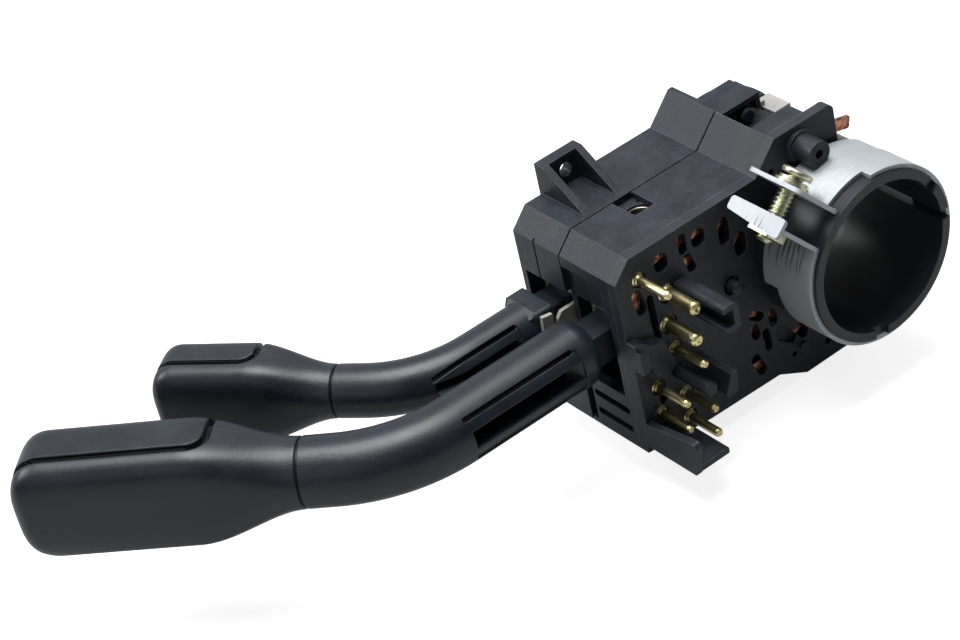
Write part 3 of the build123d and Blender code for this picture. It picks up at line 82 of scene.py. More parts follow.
class Shader:
    # one material and its nodes
    def __init__(self, name, **fixed):
        self.material = bpy.data.materials.new(name)
        self.material.use_nodes = True
        self.links = self.material.node_tree.links
        self.made = self.material.node_tree.nodes
        self.body = self.made["Principled BSDF"]
        self.use(**fixed)

    def add(self, kind, settings=None, inputs=None, output=0):
        # a node of this kind: its settings first, then a value or a link for each input
        node = self.made.new(kind)
        for key, value in (settings or {}).items():
            setattr(node, key, value)
        for key, value in (inputs or {}).items():
            self.feed(node.inputs[key], value)
        return Sock(self, node.outputs[output])

    def feed(self, socket, value):
        # a link from another socket, or a plain value, where a colour gets an alpha of 1
        if isinstance(value, Sock):
            self.links.new(value.socket, socket)
        elif isinstance(value, tuple) and len(value) == 3 and socket.type == "RGBA":
            socket.default_value = (*value, 1)
        else:
            socket.default_value = value

    def use(self, **inputs):
        # feeds the material's own inputs, written with _ for each space
        for name, value in inputs.items():
            self.feed(self.body.inputs[name.replace("_", " ")], value)
        return self.material

    def place(self, scale=(1, 1, 1), turn=(0, 0, 0)):
        # object coordinates, stretched by the scale and then turned
        spot = self.add("ShaderNodeTexCoord", output="Object")
        return self.add("ShaderNodeMapping", {}, {"Vector": spot, "Scale": scale, "Rotation": turn})

    def noise(self, spot, scale, detail, roughness):
        # sum of ever finer layers: detail counts them, and roughness is each one's share of the last
        inputs = {"Vector": spot, "Scale": scale, "Detail": detail, "Roughness": roughness}
        return self.add("ShaderNodeTexNoise", {}, inputs)

    def span(self, value, low, high, toLow=0.0, toHigh=1.0):
        # low to high becomes toLow to toHigh, held at both ends
        return self.add("ShaderNodeMapRange", {}, {0: value, 1: low, 2: high, 3: toLow, 4: toHigh})

    def window(self, value, limits):
        # rises from 0 to 1 between the first two limits, falls back to 0 between the last two
        rise = self.span(value, limits[0], limits[1])
        fall = self.span(value, limits[2], limits[3], 1.0, 0.0)
        return rise * fall

    def blend(self, factor, first, second):
        # first where the factor is 0, second where it is 1; 6 and 7 in and 2 out are the colour sockets
        return self.add("ShaderNodeMix", {"data_type": "RGBA"}, {0: factor, 6: first, 7: second}, output=2)

    def softEdges(self, radius):
        # the normal rounded over edges, and 0 on a face rising to 1 where the rounding leans most
        rounded = self.add("ShaderNodeBevel", {"samples": 4}, {"Radius": radius})
        flat = self.add("ShaderNodeNewGeometry", output="Normal")
        both = {0: rounded, 1: flat}
        likeness = self.add("ShaderNodeVectorMath", {"operation": "DOT_PRODUCT"}, both, "Value")
        return rounded, self.span(1 - likeness, 0.02, 0.25)

    def bump(self, height, strength, distance, under):
        # the normal under it, leaned by the slope of height * distance times the strength
        inputs = {"Height": height, "Strength": strength, "Distance": distance, "Normal": under}
        return self.add("ShaderNodeBump", {}, inputs)


# moulded plastics; each noise is given as scale, detail and roughness
casingLook = {
    "dark": (0.0055, 0.0072, 0.0115),
    "light": (0.0215, 0.026, 0.0355),
    # pale colour for scratches, and for edges, where it is partly wear and partly painted highlight
    "rubbedAndHighlit": (0.15, 0.165, 0.19),
    "toneSpan": (0.36, 0.66),
    "edgeRadius": 0.0003,
    # strength of the pale edges: partly wear, partly painted highlight
    "edgeWearAndHighlight": 0.85,
    "leastWearAndHighlight": 0.35,
    "wearAndHighlightSpan": (0.3, 0.6),
    "roughness": (0.36, 0.54),
    "sheenSpan": (0.32, 0.68),
    "specular": 0.28,
    "refraction": 1.5,
    "grain": (1150.0, 2.0, 0.6),
    "cloud": (120.0, 4.0, 0.62),
    "streak": (90.0, 4.0, 0.6),
    "flow": (1, 1, 0.25),
    "flowTurn": (0.0, 0.5, 0.3),
    "scratch": (1.0, 2.0, 0.5),
    "scratchFlow": (240.0, 2400.0, 900.0),
    "scratchTurn": (0.4, 0.9, 0.6),
    "scratchPeak": (0.7, 0.78),
    "scratchShare": 0.25,
    "bump": 0.42,
    "bumpReach": 0.0002,
    "ripple": 0.6,
}
plateLook = dict(casingLook, dark=(0.0098, 0.0118, 0.0165), light=(0.021, 0.0245, 0.0325), specular=0.3)
nylonLook = dict(
    casingLook,
    dark=(0.24, 0.235, 0.225),
    light=(0.34, 0.335, 0.32),
    rubbedAndHighlit=(0.55, 0.54, 0.52),
    specular=0.45,
    grain=(900.0, 2.0, 0.6),
    bump=0.1,
)
stalkLook = dict(
    casingLook,
    dark=(0.0062, 0.0085, 0.013),
    light=(0.0125, 0.0165, 0.0245),
    rubbedAndHighlit=(0.05, 0.058, 0.07),
    edgeRadius=0.0004,
    edgeWearAndHighlight=0.5,
    roughness=(0.31, 0.44),
    specular=0.37,
    grain=(1300.0, 2.0, 0.6),
    cloud=(110.0, 4.0, 0.62),
    flow=(0.3, 0.3, 1),
    scratchShare=0.12,
    bump=0.24,
    ripple=0.25,
)
collarLook = dict(
    stalkLook,
    dark=(0.009, 0.011, 0.015),
    light=(0.015, 0.018, 0.024),
    roughness=(0.3, 0.42),
    bump=0.1,
)
ringLook = dict(
    stalkLook,
    dark=(0.003, 0.0035, 0.0045),
    light=(0.005, 0.006, 0.007),
    edgeWearAndHighlight=0.0,
    scratchShare=0.0,
    specular=0.15,
)


def mouldedPlastic(name, look):
    # tone, edge wear and highlight, sheen and relief are weighted sums of fine mould grain, broad handling
    # cloud and long flow streaks; a scratch is where a very long noise peaks, and an edge is painted pale
    # where the rounded normal leans away from the face, partly as wear and partly as painted highlight
    paint = Shader(name, IOR=look["refraction"], Specular_IOR_Level=look["specular"])
    spot = paint.place()
    grain = paint.noise(spot, *look["grain"])
    cloud = paint.noise(spot, *look["cloud"])
    streak = paint.noise(paint.place(look["flow"], look["flowTurn"]), *look["streak"])
    scratches = paint.noise(paint.place(look["scratchFlow"], look["scratchTurn"]), *look["scratch"])
    scratch = paint.span(scratches, *look["scratchPeak"])
    tone = paint.span(cloud * 0.5 + streak * 0.3 + grain * 0.2, *look["toneSpan"])
    rounded, edge = paint.softEdges(look["edgeRadius"])
    least = look["edgeWearAndHighlight"] * look["leastWearAndHighlight"]
    # pale edges where the rounded normal leans away: partly wear, partly painted highlight, stronger where
    # cloud and streaks are
    wornAndHighlit = edge * paint.span(cloud * 0.6 + streak * 0.4, *look["wearAndHighlightSpan"], least, look["edgeWearAndHighlight"])
    colour = paint.blend(tone, look["dark"], look["light"])
    colour = paint.blend(scratch * look["scratchShare"], colour, look["rubbedAndHighlit"])
    colour = paint.blend(wornAndHighlit, colour, look["rubbedAndHighlit"])
    sheen = cloud * 0.5 + grain * 0.3 + streak * 0.2
    relief = grain * 0.8 + cloud * look["ripple"]
    return paint.use(
        Base_Color=colour,
        Roughness=paint.span(sheen, *look["sheenSpan"], *look["roughness"]),
        Normal=paint.bump(relief, look["bump"], look["bumpReach"], rounded),
    )


casingPlastic = mouldedPlastic("casingPlastic", casingLook)
platePlastic = mouldedPlastic("platePlastic", plateLook)
stalkPlastic = mouldedPlastic("stalkPlastic", stalkLook)
collarPlastic = mouldedPlastic("collarPlastic", collarLook)
ringPlastic = mouldedPlastic("ringPlastic", ringLook)
nylon = mouldedPlastic("nylon", nylonLook)

# metals; marks are stretched along the way the metal was rolled or drawn
yellowZincLook = {
    "dark": (0.48, 0.48, 0.33),
    "light": (0.72, 0.73, 0.55),
    # edge: colour of the painted highlight on rounded edges
    "edge": (0.86, 0.87, 0.78),
    "tintSpan": (0.36, 0.64),
    "edgeRadius": 0.00012,
    "edgeHighlight": 0.7,
    "metallic": 1.0,
    "roughness": (0.24, 0.38),
    "sheenSpan": (0.32, 0.68),
    "markFlow": (500.0, 500.0, 500.0),
    "marks": (1.0, 3.0, 0.6),
    "cloud": (260.0, 3.0, 0.55),
    "bump": 0.05,
    "bumpReach": 0.00006,
}
brassLook = dict(
    yellowZincLook,
    dark=(0.62, 0.53, 0.25),
    light=(0.8, 0.73, 0.42),
    edge=(0.86, 0.82, 0.6),
    edgeRadius=0.0001,
    edgeHighlight=0.6,
    roughness=(0.27, 0.34),
    markFlow=(60.0, 2600.0, 60.0),
    cloud=(160.0, 3.0, 0.55),
    bump=0.012,
)
copperLook = dict(
    yellowZincLook,
    # copper's tone runs down to near-black in patches: painted shade for strips seen in shadow through the
    # windows
    dark=(0.1, 0.03, 0.018),
    light=(0.62, 0.29, 0.19),
    edge=(0.85, 0.6, 0.48),
    edgeRadius=0.0001,
    edgeHighlight=0.6,
    metallic=0.9,
    roughness=(0.18, 0.34),
    markFlow=(700.0, 700.0, 700.0),
    cloud=(620.0, 3.0, 0.55),
    bump=0.3,
)
steelLook = dict(
    yellowZincLook,
    dark=(0.3, 0.3, 0.3),
    light=(0.48, 0.48, 0.47),
    edge=(0.6, 0.6, 0.6),
    roughness=(0.26, 0.42),
)
springLook = dict(steelLook, dark=(0.13, 0.12, 0.11), light=(0.26, 0.24, 0.22), edge=(0.4, 0.36, 0.32))


def metalFinish(name, look):
    # tint = broad cloud; sheen = half marks and half cloud; relief = marks; edges are painted brighter,
    # as painted highlight, where the rounded normal leans away from the face
    paint = Shader(name, Metallic=look["metallic"])
    marks = paint.noise(paint.place(look["markFlow"]), *look["marks"])
    cloud = paint.noise(paint.place(), *look["cloud"])
    rounded, edge = paint.softEdges(look["edgeRadius"])
    colour = paint.blend(paint.span(cloud, *look["tintSpan"]), look["dark"], look["light"])
    return paint.use(
        # edges mixed towards the paler edge colour: painted highlight
        Base_Color=paint.blend(edge * look["edgeHighlight"], colour, look["edge"]),
        Roughness=paint.span(marks * 0.5 + cloud * 0.5, *look["sheenSpan"], *look["roughness"]),
        Normal=paint.bump(marks, look["bump"], look["bumpReach"], rounded),
    )


yellowZinc = metalFinish("yellowZinc", yellowZincLook)
terminalBrass = metalFinish("terminalBrass", brassLook)
stripCopper = metalFinish("stripCopper", copperLook)
pinSteel = metalFinish("pinSteel", steelLook)
springSteel = metalFinish("springSteel", springLook)

# the clamp band's strip; angles are radians round the column and y is metres along it
bandLook = {
    "dark": (0.35, 0.375, 0.4),
    "light": (0.415, 0.44, 0.465),
    # edge: paler colour for the painted edge highlight and for the streaks over the top of the band
    "edge": (0.66, 0.68, 0.7),
    "line": (0.07, 0.075, 0.08),
    "tintSpan": (0.36, 0.64),
    "edgeRadius": 0.00015,
    "edgeHighlightShare": 0.8,
    "metallic": 0.42,
    "roughness": (0.46, 0.6),
    "sheenSpan": (0.3, 0.7),
    "grain": (1900.0, 2.0, 0.6),
    "cloud": (60.0, 3.0, 0.5),
    "combLines": (1250.0, 2.2),
    "combNoise": (1.0, 1.0, 0.4),
    "combSpan": (0.5, 0.56),
    "combAngle": (0.24, 0.4, 0.6, 0.66),
    "combY": (-0.0158, -0.0145, -0.004, -0.003),
    "combShare": 0.85,
    "raggedLines": 1900.0,
    "raggedNoise": (1.0, 1.0, 0.5),
    "raggedReach": 0.5,
    "fineLines": (3200.0, 6.0),
    "fineNoise": (1.0, 2.0, 0.5),
    # paler streaks, kept to angles over the top of the band
    "topStreakSpan": (0.52, 0.7),
    "topStreakAngle": (1.02, 1.1, 1.5, 1.75),
    "topStreakShare": 0.45,
    "bump": 0.12,
    "bumpReach": 0.0001,
}


def bandFinish(name, look):
    # angle = atan2(z, x) round the column; forming marks are thin dark lines that run round, kept to a
    # window in angle and y whose ends a noise makes ragged; paler streaks run the same way in a window
    # over the top of the band; edges are painted pale as painted highlight
    paint = Shader(name, Metallic=look["metallic"])
    spot = paint.add("ShaderNodeTexCoord", output="Object")
    parts = paint.add("ShaderNodeSeparateXYZ", {}, {0: spot})
    x, y, z = (Sock(paint, parts.socket.node.outputs[k]) for k in range(3))
    angle = paint.add("ShaderNodeMath", {"operation": "ARCTAN2"}, {0: z, 1: x})

    def lane(acrossScale, roundScale):
        # a place in the noise that changes fast along y and slowly round the column
        return paint.add("ShaderNodeCombineXYZ", {}, {0: y * acrossScale, 1: angle * roundScale})

    lines = paint.noise(lane(*look["combLines"]), *look["combNoise"])
    onlyY = paint.add("ShaderNodeCombineXYZ", {}, {0: y * look["raggedLines"]})
    ragged = (paint.noise(onlyY, *look["raggedNoise"]) - 0.5) * look["raggedReach"]
    comb = paint.span(lines, *look["combSpan"])
    comb = comb * paint.window(angle + ragged, look["combAngle"]) * paint.window(y, look["combY"])
    grain = paint.noise(spot, *look["grain"])
    cloud = paint.noise(spot, *look["cloud"])
    fine = paint.noise(lane(*look["fineLines"]), *look["fineNoise"])
    # paler streaks over the top of the band
    topStreaks = paint.span(fine, *look["topStreakSpan"]) * paint.window(angle, look["topStreakAngle"])
    rounded, edge = paint.softEdges(look["edgeRadius"])
    tint = paint.span(cloud * 0.6 + grain * 0.4, *look["tintSpan"])
    colour = paint.blend(tint, look["dark"], look["light"])
    colour = paint.blend(topStreaks * look["topStreakShare"], colour, look["edge"])
    colour = paint.blend(comb * look["combShare"], colour, look["line"])
    # painted highlight on rounded edges
    colour = paint.blend(edge * look["edgeHighlightShare"], colour, look["edge"])
    relief = grain * 0.5 + fine * 0.3 - comb
    return paint.use(
        Base_Color=colour,
        Roughness=paint.span(grain * 0.4 + fine * 0.6, *look["sheenSpan"], *look["roughness"]),
        Normal=paint.bump(relief, look["bump"], look["bumpReach"], rounded),
    )


bandSteel = bandFinish("bandSteel", bandLook)
print("finishes made")

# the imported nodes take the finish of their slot, apart from two with one of their own
finishOfSlot = {
    "casing_plastic": casingPlastic,
    "collar_plastic": collarPlastic,
    "stalk_plastic": stalkPlastic,
    "ring_plastic": ringPlastic,
    "band_steel": bandSteel,
    "zinc_steel": yellowZinc,
    "terminal_brass": terminalBrass,
    "strip_copper": stripCopper,
    "nylon": nylon,
    "spring_steel": springSteel,
    "pin_steel": pinSteel,
}
finishOfNode = {
    "terminal_plate": platePlastic,
    "cancel_pawl_post": casingPlastic,
}
slotOfNode = {row["node"]: row["material_slot"] for row in frame["record"]["subparts"]}
for nodeName, thing in nodes.items():
    thing.data.materials.clear()
    thing.data.materials.append(finishOfNode.get(nodeName, finishOfSlot[slotOfNode[nodeName]]))
print("nodes finished")


def newPiece(name, points, faces, material, smooth=True):
    # an object at the origin, from surface points in metres and the point numbers round each face
    mesh = bpy.data.meshes.new(name)
    mesh.from_pydata(points.tolist(), [], faces)
    mesh.polygons.foreach_set("use_smooth", np.full(len(faces), smooth))
    mesh.materials.append(material)
    mesh.update()
    piece = bpy.data.objects.new(name, mesh)
    bpy.context.collection.objects.link(piece)
    return piece


def gridQuads(rounds, steps):
    # point (i, j) has the number i * steps + j; i closes on itself, and each face is one cell of the grid
    i, j = np.meshgrid(np.arange(rounds), np.arange(steps - 1), indexing="ij")
    here, after = i * steps + j, (i + 1) % rounds * steps + j
    return np.stack([here, after, after + 1, here + 1], -1).reshape(-1, 4)


def gridFan(rounds, steps, row, tip):
    # a triangle from each pair of neighbours in a row of the grid to the point with the number tip
    here = np.arange(rounds) * steps + row
    return np.stack([here, np.roll(here, -1), np.full(rounds, tip)], -1)


def gridPiece(name, points, material, body, capStart, capEnd=None):
    # points[i, j] is a surface point: i runs round and closes, j runs along; a cap is a fan to one point
    rounds, steps = points.shape[:2]
    count = rounds * steps
    verts = np.vstack([points.reshape(-1, 3), capStart])
    faces = gridQuads(rounds, steps).tolist() + gridFan(rounds, steps, 0, count)[:, [1, 0, 2]].tolist()
    if capEnd is not None:
        verts = np.vstack([verts, capEnd])
        faces += gridFan(rounds, steps, steps - 1, count + 1).tolist()
    piece = newPiece(name, verts, faces, material)
    if body:
        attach(piece, body)
    return piece


def around(rounds):
    # even angles over one turn, as a column
    return np.linspace(0, 2 * np.pi, rounds, endpoint=False)[:, None]


def turned(angle, radius, height, origin, out, across):
    # point = origin + radius * (cos angle * out + sin angle * (across x out)) + height * across
    out, across = np.array(out, float), np.array(across, float)
    return (
        np.array(origin)
        + (np.cos(angle) * radius)[..., None] * out
        + (np.sin(angle) * radius)[..., None] * np.cross(across, out)
        + (np.ones_like(angle) * height)[..., None] * across
    )


# clamp screw in metres: threaded shank and a cross-recessed pan head, along the line through both ears
clampScrew = {
    "earAngle": 49.3,
    "reach": 0.031,
    "y": -0.009,
    "tip": -0.0104,
    "seat": 0.0069,
    "radius": 0.00228,
    "threadDepth": 0.00052,
    "pitch": 0.00115,
    "flank": 2.6,
    "land": 0.25,
    "tipCut": 0.0009,
    "tipSlope": 1.1,
    "shankGrid": (48, 260),
    "headRadius": 0.0041,
    "headHeight": 0.0017,
    "rimShare": 0.25,
    "rimTaper": 0.06,
    "rimRise": 0.55,
    "recess": 0.0013,
    "slotHalf": 0.00055,
    "slotReach": 0.0026,
    "slotEdge": 1.15,
    "slotSlope": 0.3,
    "headGrid": (160, 70),
}


def makeClampScrew(look):
    # shank radius = crest - depth * clipped saw of (height / pitch - angle / turn), within a cone at the
    # tip; head height = straight rim, then a quartic dome, less the recess where the cross is
    angle = np.radians(look["earAngle"])
    out = np.array([np.cos(angle), 0, np.sin(angle)])
    across = np.array([-np.sin(angle), 0, np.cos(angle)])
    origin = out * look["reach"] + np.array([0, look["y"], 0])
    rounds, steps = look["shankGrid"]
    a = around(rounds)
    h = np.linspace(look["tip"], look["seat"], steps)[None, :]
    phase = (h / look["pitch"] - a / (2 * np.pi)) % 1.0
    depth = np.clip(np.abs(phase - 0.5) * look["flank"] - look["land"], 0, 1)
    cone = look["radius"] - look["tipCut"] + np.clip(h - look["tip"], 0, 1) * look["tipSlope"]
    radius = np.minimum(look["radius"] - look["threadDepth"] * depth, cone)
    points = turned(a, radius, h, origin, out, across)
    shank = gridPiece("clampScrewShank", points, yellowZinc, "casing", origin + across * look["tip"])
    rounds, steps = look["headGrid"]
    a = around(rounds)
    t = np.linspace(0, 1, steps)[None, :]
    rim, rise = look["rimShare"], look["rimRise"]
    edge = np.clip(t / rim, 0, 1)
    share = np.where(t < rim, 1 - look["rimTaper"] * (1 - edge) ** 2, 1 - (t - rim) / (1 - rim))
    radius = look["headRadius"] * share
    dome = np.where(t < rim, rise * edge, rise + (1 - rise) * np.sqrt(np.clip(1 - share**4, 0, 1)))
    x, y = np.abs(radius * np.cos(a)), np.abs(radius * np.sin(a))
    half, reach = look["slotHalf"], look["slotReach"]
    arm = np.minimum(np.maximum(x / half, y / reach), np.maximum(y / half, x / reach))
    dig = np.clip((look["slotEdge"] - arm) / look["slotSlope"], 0, 1) * look["recess"] * (t > rim)
    height = look["seat"] + look["headHeight"] * dome - dig
    points = turned(a, radius, height, origin, out, across)
    gridPiece("clampScrewHead", points, yellowZinc, "casing", origin + across * look["seat"])
    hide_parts("clamp_screw")


makeClampScrew(clampScrew)
print("clamp screw made")

# terminal pins in millimetres: turned brass with a foot disc, a waist above it and a bevelled, slightly
# hollow tip; the profile's lists are (radius, height) steps
terminalPins = {
    "thin": ([(57.4, 17.9), (50.7, -6.5), (57.9, -14.2), (50.0, -20.6), (58.4, -21.8), (50.2, -28.0)], 1.15),
    "thick": ([(50.2, 9.8), (51.4, 1.2)], 1.75),
    "plateY": -20.0,
    "reach": 11.0,
    "recess": 1.4,
    "back": -24.1,
    "footOut": 0.86,
    "foot": [(-0.1, 0.02), (0.0, 0.12), (0.0, 0.95), (-0.08, 1.05)],
    "waist": [(0.34, 1.12), (0.26, 1.3), (0.24, 1.62), (0.16, 1.72), (0.0, 1.78), (0.0, 1.95)],
    "bevel": [(0.0, -1.3), (0.0, -0.7), (-0.04, -0.6)],
    "nose": [(0.72, -0.1), (0.66, 0.0), (0.36, 0.0), (0.3, -0.05), (0.24, -0.16)],
    "rounds": 40,
}


def makePins(look):
    # a lathe profile turned about a line along y: the foot stands on the base by its own radius, the
    # waist and the bevel differ from the pin's radius, and the nose is in shares of it
    base = look["plateY"] - look["recess"]
    tip = look["plateY"] + look["reach"]
    for kind in ("thin", "thick"):
        places, radius = look[kind]
        profile = [(radius, look["back"]), (radius, base)]
        profile += [(radius + look["footOut"] + r, base + h) for r, h in look["foot"]]
        profile += [(radius + r, base + h) for r, h in look["waist"]]
        profile += [(radius + r, tip + h) for r, h in look["bevel"]]
        profile += [(radius * r, tip + h) for r, h in look["nose"]]
        r, h = np.array(profile).T / 1000
        for k, (x, z) in enumerate(places):
            foot = (x / 1000, 0, z / 1000)
            points = turned(around(look["rounds"]), r, h, foot, (1, 0, 0), (0, 1, 0))
            ends = (x / 1000, h[0], z / 1000), (x / 1000, h[-1], z / 1000)
            pin = gridPiece(kind + "Pin" + str(k + 1), points, terminalBrass, "casing", *ends)
            if k == 0:
                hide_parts("small_terminal_pins" if kind == "thin" else "large_terminal_pins")


makePins(terminalPins)
print("terminal pins made")

# detent springs in millimetres: a coil from each plunger's seat to the deck, built once in place; the real
# one is pressed as the plunger lifts
detentSprings = {
    "radius": 3.55,
    "wire": 0.45,
    "turns": 5,
    "seat": 16.372,
    "deck": 23.0,
    "x": 43.3,
    "y": {"main": -34.5, "small": -53.0},
    "steps": 241,
    "sides": 14,
}


def makeDetentSprings(look):
    # wire's middle = (r cos a, r sin a, even rise); its section is a circle on the radial direction and
    # on the one square to that and to the way ahead
    low, high = look["seat"] + look["wire"], look["deck"] - look["wire"]
    a = np.linspace(0, 2 * np.pi * look["turns"], look["steps"])
    rise = np.linspace(low, high, look["steps"])
    radial = np.stack([np.cos(a), np.sin(a), np.zeros_like(a)], 1)
    slope = (high - low) / (a[-1] * look["radius"])
    ahead = np.stack([-np.sin(a), np.cos(a), np.full_like(a, slope)], 1) / np.hypot(1, slope)
    b = around(look["sides"])[..., None]
    wire = look["wire"] * (np.cos(b) * radial + np.sin(b) * np.cross(ahead, radial))
    for side, y in look["y"].items():
        centre = np.stack([np.full_like(a, look["x"]), np.full_like(a, y), rise], 1)
        middle = look["radius"] * radial + centre
        ends = middle[0] / 1000, middle[-1] / 1000
        coil = gridPiece(side + "DetentSpring", (middle + wire) / 1000, springSteel, None, *ends)
        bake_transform(coil)
        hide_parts(side + "_detent_spring")


makeDetentSprings(detentSprings)
print("detent springs made")

# horn tab in millimetres: the copper strip's free end, cut square with eased corners
hornTab = {
    "path": ((-4.6, 24.5), (-8.5, 24.3), (-14.2, 23.0)),
    "halfWidth": 1.7,
    "ease": 0.45,
    "back": -22.6,
    "thickness": 0.8,
}


def makeHornTab(look):
    # outline in (x, z) = path moved half a width to each side along the mean of the normals at each
    # joint, its free corners cut by the ease; the tab is that outline carried along y by the thickness
    path = np.array(look["path"])
    step = np.diff(path, axis=0)
    step /= np.linalg.norm(step, axis=1, keepdims=True)
    normal = np.stack([-step[:, 1], step[:, 0]], 1)
    atJoint = np.vstack([normal[:1], (normal[:-1] + normal[1:]) / 2, normal[-1:]]) * look["halfWidth"]
    left, right = path + atJoint, path - atJoint
    inward = atJoint[-1] / look["halfWidth"] * look["ease"]
    back = step[-1] * look["ease"]
    cut = np.array([left[-1] - back, left[-1] - inward, right[-1] + inward, right[-1] - back])
    outline = np.vstack([left[:-1], cut, right[-2::-1]])
    x, z = outline.T
    if np.sum(x * np.roll(z, -1) - np.roll(x, -1) * z) < 0:
        x, z = x[::-1], z[::-1]
    count = len(x)
    low = np.stack([x, np.full(count, look["back"]), z], 1)
    high = low + (0, look["thickness"], 0)
    ring = np.arange(count)
    after = np.roll(ring, -1)
    sides = np.stack([ring, ring + count, after + count, after], 1).tolist()
    lids = [ring.tolist(), (ring + count)[::-1].tolist()]
    piece = newPiece("hornTab", np.vstack([low, high]) / 1000, sides + lids, stripCopper, smooth=False)
    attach(piece, "casing")
    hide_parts("horn_tab")


makeHornTab(hornTab)
print("horn tab made")

# grips in millimetres: each a paddle that swells from the arm in an easy S, as a shell and a cap parted
# by a groove whose floor is painted dark with the ring's finish, as painted shade
mainGrip = {
    "body": "main_stalk",
    "nodes": ("main_grip_shell", "main_grip_cap"),
    "grooveName": "main_grip_groove",
    "bend": (124.4, -31.5, 44.3),
    "neck": 23.4,
    "level": -0.5,
    "tube": 8.7,
    "start": 0.7,
    "rim": ((-1.6, 0.0), (-0.5, 0.0), (-0.2, 0.04), (-0.05, 0.15)),
    "rimLength": 0.35,
    "halfHeight": 14.2,
    "halfThickness": 11.1,
    "squareness": 3.8,
    "flare": 27.5,
    "length": 70.2,
    "tipHeightR": 8.5,
    "tipThicknessR": 4.2,
    "bow": 0.4,
    "capStart": 21.3,
    "capEdge": 4.5,
    "capCorner": 4.8,
    "grooveDepth": 1.7,
    "grooveHalf": 0.58,
    "shellRound": 0.6,
    "shellPower": 2.0,
    "capRound": 0.25,
    "capPower": 1.2,
    # how far the painted groove shade reaches in from the shell side and up onto the cap side
    "grooveShadeInset": 0.05,
    "grooveShadeRise": 0.15,
    "partingDepth": 0.08,
    "partingWidth": 0.16,
    "partingShift": 2.6,
    "partingGap": 0.5,
    "wall": 1.2,
    "coarseAngle": 1.8,
    "fineAngle": 0.65,
    "fineMargin": 5,
    "fineUpTo": 106,
    "coarseStep": 0.8,
    "fineStep": 0.22,
    "cornerMargins": (1.2, 1.0),
    "swingRows": 26,
    "shutRows": 25,
    "shutShare": 0.04,
}
smallGrip = dict(
    mainGrip,
    body="small_stalk",
    nodes=("small_grip_shell", "small_grip_cap"),
    grooveName="small_grip_groove",
    bend=(103.8, -50.0, 51.0),
    neck=21.6,
    tube=6.7,
    halfHeight=11.5,
    halfThickness=8.6,
    flare=21.5,
    length=46.3,
    tipHeightR=6.0,
    tipThicknessR=3.0,
    bow=0.3,
    capStart=19.6,
    capEdge=2.4,
    capCorner=4.0,
    grooveDepth=1.4,
    grooveHalf=0.5,
    shellRound=0.45,
)


def spacing(start, stop, step, windows):
    # places from start to stop, a step apart, or closer by each window's own step inside it: the sum of
    # 1 / step up to a place is its number, read backwards at even numbers
    fine = np.linspace(start, stop, 6000)
    gap = np.full(fine.shape, float(step))
    for low, high, small in windows:
        gap = np.where((fine > low) & (fine < high), small, gap)
    count = np.concatenate([[0], np.cumsum((0.5 / gap[1:] + 0.5 / gap[:-1]) * np.diff(fine))])
    return np.interp(np.linspace(0, count[-1], int(np.ceil(count[-1])) + 1), count, fine)


def gripAngles(look):
    # angles round the section, closer together from the groove to past the parting line, above and below
    grooveAt = np.degrees(np.arctan2(look["halfHeight"], look["capEdge"])) - look["fineMargin"]
    upTo, fine = look["fineUpTo"], look["fineAngle"]
    windows = [(grooveAt, upTo, fine), (-upTo, -grooveAt, fine)]
    return np.radians(spacing(-180, 180, look["coarseAngle"], windows)[:-1])[:, None]


def gripSections(look):
    # distance s, half height, half thickness and power of each row: they ease from the tube's circle over
    # the flare by 3 u^2 - 2 u^3, and shrink by quarter circles at the tip; the first rows turn the rim
    # into the neck and the last rows close the tip
    tube, end, tipH, tipT = look["tube"], look["length"], look["tipHeightR"], look["tipThicknessR"]
    before, beyond = look["cornerMargins"]
    corner = (look["capStart"] - before, look["capStart"] + look["capCorner"] + beyond, look["fineStep"])
    straight = spacing(look["start"] + look["rimLength"], end - tipH, look["coarseStep"], [corner])
    swing = np.linspace(0, np.pi / 2, look["swingRows"])[1:]
    s = np.concatenate([straight, end - tipH + tipH * np.sin(swing)])
    u = np.clip((s - look["start"]) / (look["flare"] - look["start"]), 0, 1)
    ease = u**2 * (3 - 2 * u)
    shrinkH = tipH * (1 - np.sqrt(1 - np.clip((s - end + tipH) / tipH, 0, 1) ** 2))
    shrinkT = tipT * (1 - np.sqrt(1 - np.clip((s - end + tipT) / tipT, 0, 1) ** 2))
    halfH = tube + (look["halfHeight"] - tube) * ease - shrinkH
    halfT = tube + (look["halfThickness"] - tube) * ease - shrinkT
    power = 2 + (look["squareness"] - 2) * ease
    inwards, forwards = np.array(look["rim"]).T
    shut = np.linspace(1, look["shutShare"], look["shutRows"])[1:]
    s = np.concatenate([look["start"] + forwards, s, end + look["bow"] * (1 - shut**2)])
    halfH = np.concatenate([tube + inwards, halfH, halfH[-1] * shut])
    halfT = np.concatenate([tube + inwards, halfT, halfT[-1] * shut])
    power = np.concatenate([np.full(len(inwards), 2.0), power, np.full(len(shut), look["squareness"])])
    return s, halfH, halfT, power


def insideCap(look, s, t):
    # distance inside the cap's zone in plan: the nearer of its two edges, or of its round corner
    inS, inT, r = s - look["capStart"], look["capEdge"] - t, look["capCorner"]
    rounded = r - np.hypot(r - np.minimum(inS, r), r - np.minimum(inT, r))
    return np.where((inS < r) & (inT < r), rounded, np.minimum(inS, inT))


def sinking(look, s, t, f):
    # how deep each point sinks: the groove's floor where f is near 0, with a rounded lip to each side,
    # and a faint parting line along the shell
    lip = np.where(f < 0, look["shellRound"], look["capRound"])
    power = np.where(f < 0, look["shellPower"], look["capPower"])
    groove = look["grooveDepth"] * np.clip((look["grooveHalf"] + lip - np.abs(f)) / lip, 0, 1) ** power
    onShell = (s - look["capStart"] < -look["partingGap"]) * (s > look["start"] + look["partingGap"])
    parting = np.exp(-(((t + look["partingShift"]) / look["partingWidth"]) ** 2)) * onShell
    return groove + look["partingDepth"] * parting


